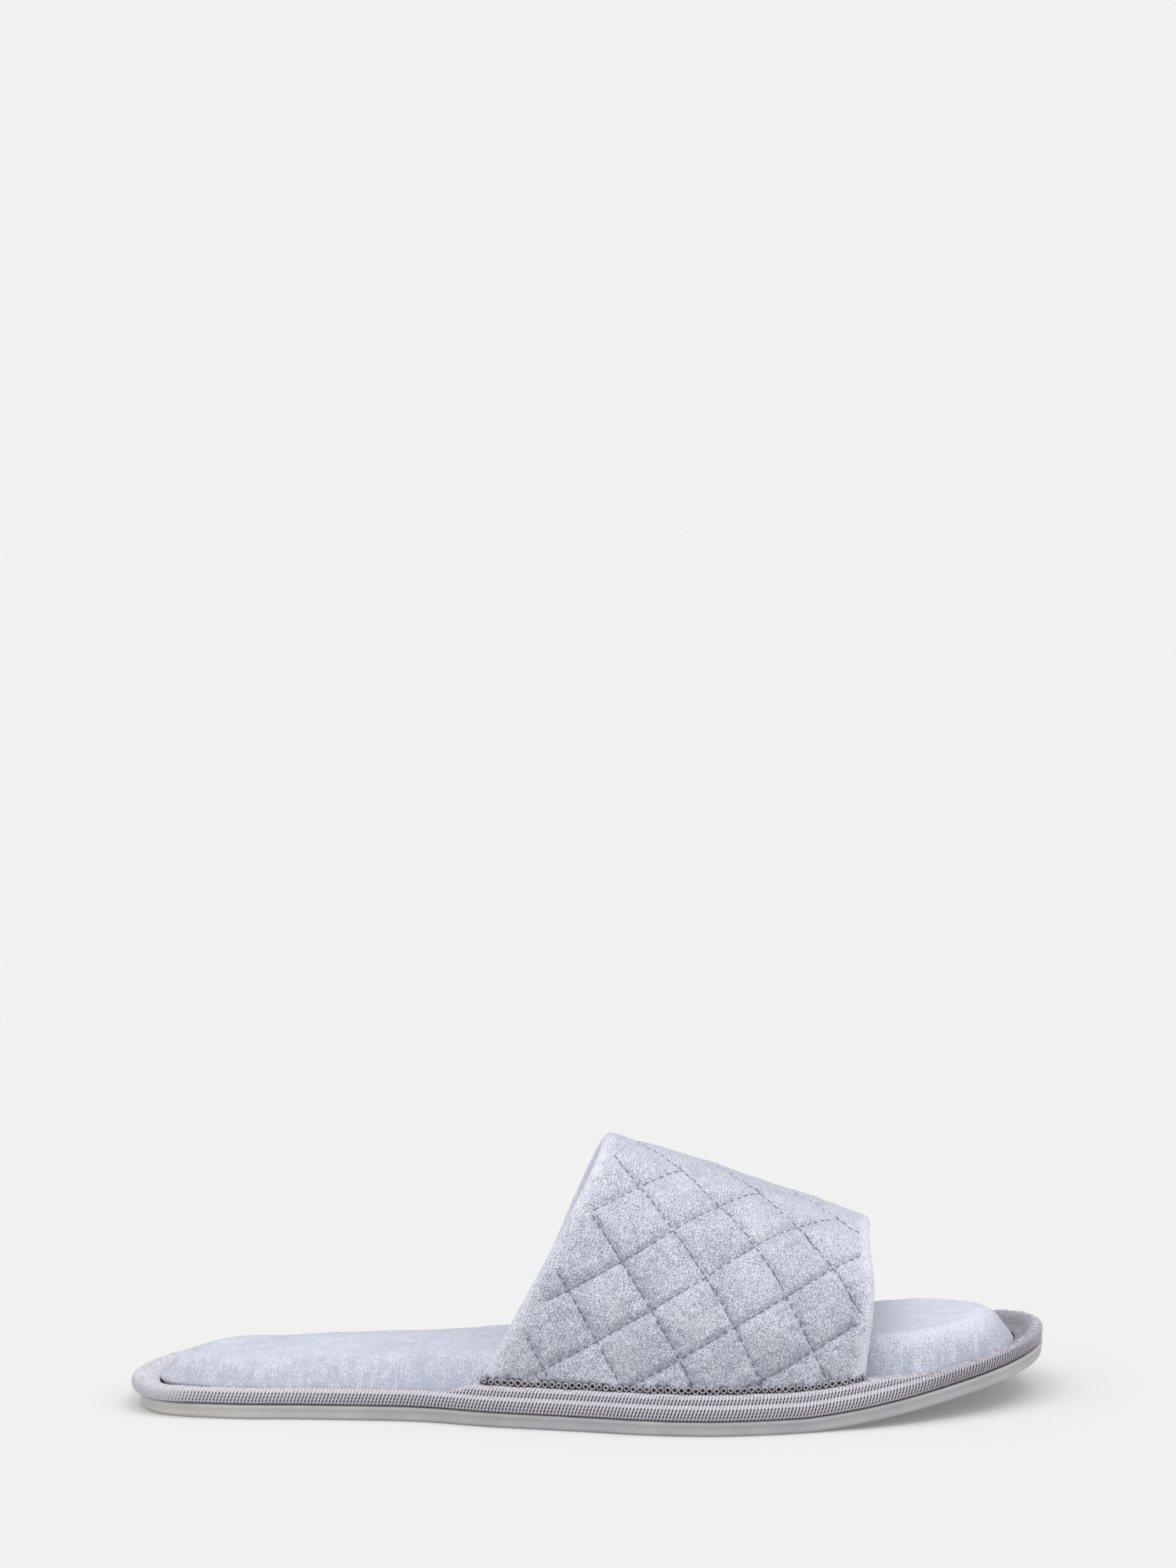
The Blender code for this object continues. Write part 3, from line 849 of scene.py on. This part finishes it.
def make_binding(material):
    """Ribbed tape: its folded section carried round the sole's edge.

    The section's table is read as a smooth line. Ribs are a cosine along the edge, slanted
    with height, added along the section's own outward normal.
    """
    place, inward, length = edge_path()
    count = len(place)
    step = length / count
    keyed = [(k, *row) for k, row in enumerate(TAPE_SECTION)]
    read = np.linspace(0, len(TAPE_SECTION) - 1, TAPE_ROWS)
    deep, up, beaded = (curve(keyed, read, column) for column in (1, 2, 3))
    keyed_rim = [(k, *row) for k, row in enumerate(RIM_SECTION)]
    rim_deep, rim_up = (curve(keyed_rim, read, column) for column in (1, 2))
    x = place[:, 0]
    tall = bead(x)[:, None]
    deep = mix(rim_deep, deep, tall) * TAPE_WIDTH
    up = np.maximum(up, 0.02)
    high = mix(rim_up, up, tall) * TAPE_HEIGHT + tall * beaded * TAPE_BEAD_HEIGHT
    toe = ease((x - (LENGTH - TOE_VALLEY_BACK)) / TOE_VALLEY_RUN)[:, None] * (1 - tall)
    high = high - toe * ease((rim_deep - 0.28) / 0.50) * TOE_VALLEY
    slope_deep = np.gradient(deep, axis=1)
    slope_high = np.gradient(high, axis=1)
    size = np.hypot(slope_deep, slope_high)
    out_deep, out_high = -slope_high / size, slope_deep / size
    run = (np.arange(count) * step)[:, None]
    rib = np.cos(2 * np.pi * (run - RIB_SLANT * high) / RIB_PITCH)
    shown = ease(read / 1.2) * ease((len(TAPE_SECTION) - 1 - read) / 1.5)
    lift = RIB_HEIGHT * (rib - 1) * shown
    lift = lift + TAPE_WAVE * ripples(run, high, TAPE_WAVE_SIZE, 3) * shown
    deep = deep + out_deep * lift
    high = high + out_high * lift
    deep = np.concatenate([deep, deep[:, -1:]], 1)
    high = np.concatenate([high, np.zeros((count, 1))], 1)
    flat = place[:, None] + inward[:, None] * deep[..., None]
    points = np.concatenate([flat, (rise(x)[:, None] + TAPE_SEAT + high)[..., None]], 2)
    faces, corner_run, corner_up = grid_faces(count, deep.shape[1], wrap_rows=True, wrap_columns=True)
    level = np.concatenate([high, high[:, :1]], 1)
    uv = np.stack([corner_run * step, level[corner_run % count, corner_up]], -1)
    plain_heel, plain_toe = near_ends(x, *NOTCH_ENDS)
    start, fade, faint = FAINT_NOTCHES
    notched = (1 - plain_heel) * (1 - plain_toe) * mix(faint, 1, ease((x - start) / fade))
    outside = 1 - ease((deep / TAPE_WIDTH - 0.17) / 0.08)
    heel, front = (end[:, None] for end in near_ends(x, *SHADE_ENDS))
    # Painted shade at the toe and in its valley; paler tape at the heel
    valley = toe * ease((rim_deep - 0.30) / 0.35)
    recess = sum(share * at for share, at in zip(TAPE_SHADE_SHARES, (front, valley, heel)))
    recess = np.concatenate([recess, recess[:, -1:]], 1)
    marks = {"notched": notched[:, None] * outside, "recess": recess}
    make_piece("binding_tape", points, faces, material, uv, marks, "edge_binding")


def make_insole(material):
    """Padded footbed: it turns out over the tape's inner slope, then rises to an uneven crown.

    Each loop is drawn in from the outline and lifted: first straight up inside the tape, then
    out over it on a quarter circle, then in over the ramp by the flank's table. Low ripples
    are added, from nothing at the rim.
    """
    body = TAPE_WIDTH + CLEARANCE

    def overhang(x):
        heel, toe = near_ends(x, *PAD_ENDS)
        return PAD_OVERHANG * (1 - bead(x)) * (1 - toe) * mix(1, PAD_OVERHANG_HEEL, heel)

    def ramp_run(x):
        """Run of the flank, shorter at both ends, where the pad is blunter."""
        heel, toe = near_ends(x, *RAMP_ENDS)
        return PAD_RAMP - toe * (PAD_RAMP - PAD_RAMP_TOE) - heel * (PAD_RAMP - PAD_RAMP_HEEL)

    def loop(lift, drawn_in):
        """Loop at lift(x) over the tape's seat, drawn in by the body and by drawn_in(x)."""
        flat = ring(PAD_STATIONS, 0.0, (body, body, body))
        x = flat[:, 0]
        half = len(x) // 2
        inward = drawn_in(x)
        moved_x = mix(body + inward[0], LENGTH - body - inward[half], (x - x[0]) / (x[half] - x[0]))
        low, high = sides(moved_x, body + inward, body + inward[0], body + inward[half])
        y = np.where(np.arange(len(x)) <= half, low, high)
        return np.stack([moved_x, y, rise(moved_x) + TAPE_SEAT + lift(moved_x)], 1)

    def uneven(points):
        low, high = sides(points[..., 0], body)
        inside = np.clip(np.minimum(points[..., 1] - low, high - points[..., 1]) / PAD_RAMP, 0, 1)
        for height, size, seed in PAD_WAVES:
            wave = ripples(points[..., 0], points[..., 1], size, seed)
            points[..., 2] += height * wave * ease(inside)
        return points

    def crown(x):
        return PAD_CROWN * curve(CROWN, x / LENGTH) + PAD_SHOULDER_HEIGHT

    def lip(x):
        heel, toe = near_ends(x, *PAD_ENDS)
        return mix(mix(PAD_LIP_HEIGHT, PAD_LIP_HEEL, heel), PAD_LIP_TOE, toe)

    loops = [loop(lambda x: 0.0 * x, lambda x: 0.0 * x)]
    for turn in np.linspace(0, math.pi / 2, PAD_LIP_TURNS):
        loops.append(
            loop(
                lambda x, a=turn: mix(0.66 * lip(x), lip(x), 1 - math.cos(a)),
                lambda x, a=turn: -overhang(x) * math.sin(a),
            )
        )
    for share in np.linspace(0, 1, PAD_FLANK_ROWS)[1:]:
        loops.append(
            loop(
                lambda x, k=share: mix(lip(x), crown(x), curve(FLANK, k)),
                lambda x, k=share: mix(-overhang(x), ramp_run(x), k),
            )
        )
    top = uneven(across(loops[-1], PAD_COLUMNS))
    loops = [loops[0]] + [uneven(each) for each in loops[1:]]
    points, faces = closed_by_grids(loops, across(loops[0], 2), top)
    # Painted shade on the flank, fading towards the crown, and painted light on the top towards the
    # toe
    share = np.maximum(np.arange(len(loops)) - PAD_LIP_TURNS, 0) / (PAD_FLANK_ROWS - 1)
    front = ease((loops[0][:, 0] - PAD_FRONT) / PAD_FRONT_RUN)
    flank = (1 - share[:, None]) ** PAD_SHADE_POWER * mix(PAD_SHADE, PAD_SHADE_FRONT, front)
    painted_shading = -PAD_LIGHT_FRONT * ease((points[:, 0] - PAD_FRONT) / PAD_FRONT_RUN)
    painted_shading[: flank.size] += flank.ravel()
    marks = {"painted_shading": painted_shading}
    make_piece(
        "footbed_cushion", points, faces, material, None, marks, "insole"
    )


def band_middle(t, u):
    """Middle of the band's wall. t runs from the instep edge to the toe edge, u from the seam
    on the little-toe side over the crest to the other seam.

    Across, the wall is a superellipse between the seam and the crest. Along, its crest is a
    straight line with a little fullness, and its toe edge leans and bulges forward.
    """
    foot_back = mix(BAND_SEAM_BACK, BAND_SEAM_BACK_BIG_TOE, ease(u))
    foot_front = mix(BAND_SEAM_FRONT, BAND_SEAM_FRONT_BIG_TOE, ease(u))
    foot_x = mix(foot_back, foot_front, t)
    top_x = mix(BAND_TOP_BACK, BAND_TOP_FRONT, t)
    low, high = sides(foot_x, BAND_SEAM_SETBACK + BAND_THICKNESS / 2)
    crest_y = mix(CREST_OFFSET_BACK, CREST_OFFSET_FRONT, t)
    crest_z = mix(INSTEP_HEIGHT, VAMP_HEIGHT, t) - BAND_THICKNESS / 2
    crest_z = crest_z + RIDGE_FULLNESS * 4 * t * (1 - t)
    foot_z = rise(foot_x) + BAND_SEAT
    climb = np.clip(np.sin(np.pi * u), 0, 1) ** (2 / BAND_SQUARENESS)
    over = np.abs(np.cos(np.pi * u)) ** (2 / BAND_SQUARENESS)
    foot_y = np.where(u < 0.5, low, high)
    lean = 1 - (1 - climb) ** mix(1.0, FRONT_LEAN_POWER, t)
    bulge = FRONT_EDGE_BULGE * t**2 * np.sin(np.pi * climb**BULGE_HEIGHT_POWER)
    bulge = bulge * (1 - FAR_EDGE_SETBACK * ease(2.5 * (u - 0.5)))
    return np.stack(
        [
            mix(foot_x, top_x, lean) + bulge,
            crest_y + over * (foot_y - crest_y),
            mix(foot_z, crest_z, climb),
        ],
        -1,
    )


def band_normal(t, u):
    """Unit normal of the wall, away from the foot, from small steps each way."""
    step = 1e-4
    along = band_middle(np.minimum(t + step, 1), u) - band_middle(np.maximum(t - step, 0), u)
    round_foot = band_middle(t, np.minimum(u + step, 1)) - band_middle(t, np.maximum(u - step, 0))
    return unit(np.cross(along, round_foot))


def band_cut(t, u, middle):
    """Flat pattern of the band: (along, down), its rows' run and the girth to the seam.

    down is the girth from the crest, summed over the grid. along is t times the run, which
    goes from the crest's length to the seam's, centred so that the wales stay parallel.
    """
    steps = np.linalg.norm(np.diff(middle, axis=1), axis=2)
    girth = np.concatenate([np.zeros((len(middle), 1)), np.cumsum(steps, axis=1)], axis=1)
    crest = middle.shape[1] // 2
    down = girth[:, crest : crest + 1] - girth
    top_run = np.linalg.norm(middle[-1, crest] - middle[0, crest])
    side = np.where(np.arange(middle.shape[1]) < crest, down[:, :1], -down[:, -1:])
    run = mix(top_run, BAND_SEAM_RUN, np.abs(down) / side)
    along = top_run * t + (run - top_run) * (t - 0.5)
    from_seam = np.minimum(girth, girth[:, -1:] - girth)
    return along, down, run, from_seam


def line_places(along, down):
    """Place across each of the two sets of stitch lines, in whole cells at a line."""
    x, y = along / 0.1, np.maximum(down, 0) / 0.1
    terms = (1.0, x, y, x * x, x * y, y * y)
    down_toe = ((along - down) / math.sqrt(2) - QUILT_SHIFT_DOWN_TOE) / QUILT_CELL
    down_heel = ((along + down) / math.sqrt(2) - QUILT_SHIFT_DOWN_HEEL) / QUILT_CELL
    down_toe = down_toe + sum(k * term for k, term in zip(DRIFT_DOWN_TOE, terms))
    down_heel = down_heel + sum(k * term for k, term in zip(DRIFT_DOWN_HEEL, terms))
    return down_toe, down_heel


def quilt_relief(along, down, from_back, from_front, from_seam):
    """Depth below the puffs: a pillow in each cell, its product of sines raised to a low power,
    so that the cloth is level in the middle and dives at the stitches. A narrow trough (a bell
    curve of the distance) holds each line, and small puckers die away from it. The crest, where
    the padding is stretched, has shallower puffs. Also returns how near a line each place is.
    """
    places = line_places(along, down)
    off = [np.abs(place - np.round(place)) for place in places]
    pillow = np.clip(np.sin(np.pi * off[0]) * np.sin(np.pi * off[1]), 0, 1) ** PILLOW_POWER
    from_hems = np.minimum(from_back - HEM_BACK, from_front - HEM_FRONT)
    inside = ease(np.minimum(from_hems / QUILT_FADE, from_seam / SEAM_MARGIN))
    nearest = np.minimum(*off) * QUILT_CELL
    pucker = PUCKER * np.exp(-nearest / PUCKER_REACH) * ripples(along, down, PUCKER_SIZE, 11)
    # Half a cell is the farthest from a line, so these troughs fade out at the crest
    off[1] = off[1] + 0.5 * (1 - ease(down / LINE_FADE))
    trough = sum(np.exp(-((apart * QUILT_CELL / TROUGH_WIDTH) ** 2)) for apart in off)
    slack = SLACK * ripples(along, down, SLACK_SIZE, 12)
    sewn = QUILT_DEPTH * (1 - pillow) + TROUGH_DEPTH * np.minimum(trough, 1.2) + pucker
    sewn = sewn * (1 - CREST_STRETCH * np.exp(-((down / CREST_STRETCH_WIDTH) ** 2)))
    near = inside * np.exp(-nearest / LINE_SHADE_REACH)
    return inside * sewn + slack * ease(from_seam / SLACK_FADE), near


def make_upper(material):
    """Quilted band: one closed wall, quilted outside and lined inside, with rolled hems.

    Each column is a loop: the outside from instep to toe, then the lining back. The wall's
    half thickness falls to nothing at the hems as a circle does.
    """
    columns = np.linspace(0, 1, BAND_COLUMNS + 1)
    roll = HEM_ROLL / BAND_SEAM_RUN

    def rows(count):
        turn = roll * (1 - np.cos(np.pi / 2 * np.arange(HEM_ROWS) / HEM_ROWS))
        return np.concatenate([turn, np.linspace(roll, 1 - roll, count), 1 - turn[::-1]])

    def wall(t_rows, side):
        t, u = np.meshgrid(t_rows, columns, indexing="ij")
        middle = band_middle(t, u)
        along, down, run, from_seam = band_cut(t, u, middle)
        edge = np.minimum(t, 1 - t) * BAND_SEAM_RUN
        share = end_rounding(edge, HEM_ROLL, 2.0)
        half = BAND_THICKNESS / 2 * share
        relief, near = quilt_relief(along, down, t * run, (1 - t) * run, from_seam)
        depth = share * relief * (1 if side > 0 else LINING_RELIEF)
        normal = band_normal(t, u)
        place = middle + normal * (side * (half - depth))[..., None]
        for column in (0, -1):
            place[:, column, 2] = rise(place[:, column, 0]) + BAND_SEAT
        # Painted shade: darker beside the stitch lines and towards the seams, away from the crest
        painted_shading = LINE_SHADE * near + LOW_SHADE * ease(np.abs(down) / LOW_SHADE_RUN)
        return place, normal, np.stack([along, down], -1), (t, from_seam), painted_shading

    outer_t, lining_t = rows(BAND_ROWS), rows(LINING_ROWS)
    outer, normal, outer_cut, where, outer_painted_shading = wall(outer_t, 1)
    lining, _, lining_cut, lining_where, lining_painted_shading = wall(lining_t[1:-1], -1)
    loop = np.concatenate([outer, lining[::-1]])
    cut = np.concatenate([outer_cut, lining_cut[::-1]])
    painted_shading = np.concatenate([outer_painted_shading, lining_painted_shading[::-1]])
    t, from_seam = (np.concatenate([a, b[::-1]]) for a, b in zip(where, lining_where))
    # Painted shade along each seam: near black up to an uneven height, for the recess behind the
    # overlock loops
    uneven = ripples(cut[..., 0], cut[..., 1], SEAM_UNEVEN_SIZE, 13)
    seam_shade_height = SEAM_SHADE_HEIGHT * (1 + SEAM_UNEVEN * uneven)
    painted_seam_shade = ease(1.4 - from_seam / seam_shade_height)
    # Painted highlight: paler velour along each rolled hem, more at the toe edge
    from_fold = np.minimum(t, 1 - t) * BAND_SEAM_RUN
    front = ease(2 * t - 0.5)
    painted_hem_highlight = ease(1 - from_fold / mix(FOLD_WIDTH_BACK, FOLD_WIDTH_FRONT, front))
    painted_hem_highlight = painted_hem_highlight * mix(FOLD_HIGHLIGHT_BACK, FOLD_HIGHLIGHT_FRONT, front)
    faces, corner_rows, corner_columns = grid_faces(len(loop), len(columns), wrap_rows=True)
    uv = cut[corner_rows % len(loop), corner_columns]
    outer_rows = np.arange(len(outer_t))
    paired = len(loop) - np.round(np.interp(outer_t, lining_t[1:-1], np.arange(1, len(lining) + 1)))
    paired = paired.astype(int)
    paired[0], paired[-1] = 0, len(outer_t) - 1
    quads = np.stack([outer_rows[:-1], outer_rows[1:], paired[1:], paired[:-1]], 1)
    quads = quads * len(columns)
    caps = np.concatenate([quads, quads[:, ::-1] + BAND_COLUMNS])
    faces = np.concatenate([faces, caps])
    uv = np.concatenate([uv, cut.reshape(-1, 2)[caps]])
    marks = {"seam": painted_seam_shade, "fold": painted_hem_highlight, "painted_shading": painted_shading}
    make_piece("quilted_band", loop, faces, material, uv, marks, "upper")
    return outer, normal, outer_cut, where


def repeated(faces, count, size):
    """The quads of count small shapes of size points each."""
    return (faces[None] + (np.arange(count) * size)[:, None, None]).reshape(-1, 4)


def stitches(centre, ahead, out):
    """Points and quads of many stitches: thin closed tubes of six sides along STITCH_PROFILE.

    centre, ahead and out have one row a stitch.
    """
    forward, outward, thick = (column[:, None] for column in np.array(STITCH_PROFILE).T)
    forward = forward * STITCH_LENGTH / 2
    spine = centre[:, None] + ahead[:, None] * forward + out[:, None] * outward
    turn = np.linspace(0, 2 * np.pi, 6, endpoint=False)[:, None]
    spoke = np.cross(ahead, out)[:, None] * np.cos(turn) + out[:, None] * np.sin(turn)
    tube = spine[:, :, None] + spoke[:, None] * (STITCH_RADIUS * thick[..., None])
    faces, _, _ = grid_faces(len(thick), len(turn), wrap_columns=True)
    ends = np.array([[0, 1, 2, 3], [0, 3, 4, 5]])
    last = (len(thick) - 1) * len(turn) + ends[:, ::-1]
    one = np.concatenate([faces[:, ::-1], ends, last])
    return tube.reshape(-1, 3), repeated(one, len(centre), len(thick) * len(turn))


def make_quilt_stitches(outer, normal, cut, where, material):
    """Running stitches in the troughs: every line is followed over the band and stepped off."""
    t, from_seam = where
    keep = t * BAND_SEAM_RUN > HEM_BACK + QUILT_FADE / 2
    keep &= (1 - t) * BAND_SEAM_RUN > HEM_FRONT + QUILT_FADE / 2
    keep &= from_seam > STITCH_SEAM_GAP
    half = STITCH_LENGTH / 2
    centres, heads, outs = [], [], []
    seen = (keep, keep & (np.abs(cut[..., 1]) > LINE_UNSEWN * LINE_FADE))
    for places, shown in zip(line_places(cut[..., 0], cut[..., 1]), seen):
        for line in range(math.ceil(places.min()), math.floor(places.max()) + 1):
            crossed = (places[:-1] < line) & (places[1:] >= line) & shown[:-1]
            row, column = np.nonzero(crossed)
            order = np.argsort(column)
            row, column = row[order], column[order]
            if len(row) < LINE_SHORTEST:
                continue
            below, above = places[row, column], places[row + 1, column]
            share = ((line - below) / (above - below))[:, None]
            path = mix(outer[row, column], outer[row + 1, column], share)
            run = run_along(path)
            at = np.arange(STITCH_PITCH / 2, run[-1], STITCH_PITCH)
            centres.append(read_at(at, run, path))
            heads.append(unit(read_at(at + half, run, path) - read_at(at - half, run, path)))
            outs.append(read_at(at, run, normal[row, column]))
    points, faces = stitches(*(np.concatenate(parts) for parts in (centres, heads, outs)))
    make_piece("quilting_stitches", points, faces, material)


def make_overlock(outer, normal, material):
    """Overlock loops along both seams: rings of grey thread standing on the tape's bead."""
    up = np.array([0, 0, 1.0])
    centres, heads, outs = [], [], []
    for column in (0, -1):
        foot = outer[:, column]
        run = run_along(foot)
        at = np.arange(OVERLOCK_PITCH, run[-1] - OVERLOCK_PITCH, OVERLOCK_PITCH)
        path = read_at(at, run, foot)
        ahead = unit(read_at(at + 0.5 * MM, run, foot) - path)
        facing = np.cross(ahead, up)
        centres.append(path)
        heads.append(ahead)
        outs.append(unit(facing * np.sign(facing[:, 1:2] * path[:, 1:2])))
    centre, ahead, facing = (np.concatenate(parts) for parts in (centres, heads, outs))
    jitter = np.random.default_rng(21).uniform(-1, 1, (len(centre), 3))
    turn = np.linspace(0, 2 * np.pi, 14, endpoint=False)[:, None]
    tube = np.linspace(0, 2 * np.pi, 5, endpoint=False)[:, None]
    size = OVERLOCK_RADIUS * (1 + OVERLOCK_UNEVEN * jitter[:, 0])
    lift = OVERLOCK_LIFT + OVERLOCK_LOOSE * jitter[:, 1:2]
    middle = centre + facing * OVERLOCK_OUT + up * lift
    leaning = up + OVERLOCK_LEAN * jitter[:, 2:] * facing
    spoke = np.cos(turn) * ahead[:, None] + np.sin(turn) * leaning[:, None]
    spine = middle[:, None] + spoke * size[:, None, None]
    ringed = (
        spine[:, :, None]
        + OVERLOCK_THREAD * np.cos(tube) * spoke[:, :, None]
        + OVERLOCK_THREAD * np.sin(tube) * facing[:, None, None]
    )
    faces, _, _ = grid_faces(len(turn), len(tube), wrap_rows=True, wrap_columns=True)
    every = repeated(faces, len(centre), len(turn) * len(tube))
    make_piece("overlock_loops", ringed, every, material)


# Where the photo, 1500 px wide and 2000 px high, shows the slipper
PHOTO_SIZE = (1500, 2000)
AIM = Vector((0.0, 0.0, 0.030))
AIM_PX = (752.0, 1648.0)
CAMERA_YAW = 2.5
CAMERA_ELEVATION = 13.0
CAMERA_DISTANCE = 1.878
LENS = 150.0
SENSOR = 36.0


def make_camera():
    """Long lens at the photo's angle, turned up so the slipper stands low in the frame."""
    yaw, elevation = math.radians(CAMERA_YAW), math.radians(CAMERA_ELEVATION)
    back = Vector((0.0, -math.cos(elevation), math.sin(elevation)))
    back.rotate(Matrix.Rotation(yaw, 3, "Z"))
    lens_px = LENS / SENSOR * PHOTO_SIZE[1]
    tilt = math.atan((AIM_PX[1] - PHOTO_SIZE[1] / 2) / lens_px)
    pan = math.atan((AIM_PX[0] - PHOTO_SIZE[0] / 2) / lens_px)
    data = bpy.data.cameras.new("camera")
    data.lens = LENS
    data.sensor_width = SENSOR
    data.clip_end = 200
    camera = new_object("camera", data)
    camera.matrix_world = (
        Matrix.Translation(AIM + back * CAMERA_DISTANCE)
        @ Matrix.Rotation(yaw, 4, "Z")
        @ Matrix.Rotation(math.pi / 2 - elevation + tilt, 4, "X")
        @ Matrix.Rotation(pan, 4, "Y")
    )
    bpy.context.scene.camera = camera


def make_floor():
    """Seamless opal acrylic light table, wide enough to fill the frame: its glow thins shadows."""
    material, tree, _ = new_material("opal_acrylic_light_table")
    inputs = {
        "Base Color": linear("#C2C2C2"),
        "Roughness": 0.9,
        "Specular IOR Level": 0.0,
        "Emission Color": linear("#FFFFFF"),
        "Emission Strength": 0.14,
    }
    finish_material(tree, inputs)
    mesh = bpy.data.meshes.new("floor")
    half = 60.0
    corners = [(-half, -half, 0), (half, -half, 0), (half, half, 0), (-half, half, 0)]
    mesh.from_pydata(corners, [], [(0, 1, 2, 3)])
    mesh.materials.append(material)
    floor = new_object("floor", mesh)


SKY_STRENGTH = 0.50

# Broad far lamps, angles in degrees. Columns: name, bearing it shines from (0 is the toe, 270 the
# camera), height, strength, apparent size
LAMPS = (
    ("top", 270.0, 74.0, 1.70, 60.0),
    ("left", 208.0, 50.0, 0.68, 50.0),
    ("right", 340.0, 50.0, 0.76, 50.0),
)


def make_light():
    """Soft studio: an even white dome, one broad lamp above and two low ones at the ends."""
    world = bpy.data.worlds.new("studio")
    world.use_nodes = True
    shade = world.node_tree.nodes["Background"]
    shade.inputs["Color"].default_value = linear("#FFFFFF")
    shade.inputs["Strength"].default_value = SKY_STRENGTH
    bpy.context.scene.world = world
    for name, bearing, height, strength, size in LAMPS:
        data = bpy.data.lights.new(name, "SUN")
        data.energy = strength
        data.angle = math.radians(size)
        lamp = new_object(name, data)
        turned = Matrix.Rotation(math.radians(bearing + 90), 4, "Z")
        lamp.matrix_world = turned @ Matrix.Rotation(math.radians(90 - height), 4, "X")
    bpy.context.scene.view_settings.view_transform = "Standard"


def main():
    upper_velour = velour(
        "upper_knitted_velour",
        True,
        [(0.22, "#888B99"), (0.45, "#B7BAC7"), (0.60, "#CDCFDA"), (0.85, "#E1E3EB")],
        {"streaks": (1.0, 0.5, 1.0), "flecks": (1.0, 0.75, 1.0)},
        0.7,
    )
    insole_velour = velour(
        "footbed_knitted_velour",
        False,
        [(0.15, "#9FA3B1"), (0.45, "#C3C6D2"), (0.60, "#CFD2DD"), (0.85, "#DCDFE8")],
        {"streaks": (1.0, 0.25, 0.25), "flecks": (1.0, 0.6, 0.6)},
        0.5,
    )
    tape = ribbed_tape("ribbed_polyester_tape")
    rubber = foam_rubber("moulded_foam_rubber")
    overlock_thread = thread("overlock_polyester_thread", "#B4B0BA", 0.7)
    quilting_thread = thread("quilting_polyester_thread", "#6E7284", 0.8)

    make_outsole(rubber)
    make_binding(tape)
    make_insole(insole_velour)
    outer, normal, cut, where = make_upper(upper_velour)
    make_quilt_stitches(outer, normal, cut, where, quilting_thread)
    make_overlock(outer, normal, overlock_thread)
    make_floor()
    make_light()
    make_camera()


main()
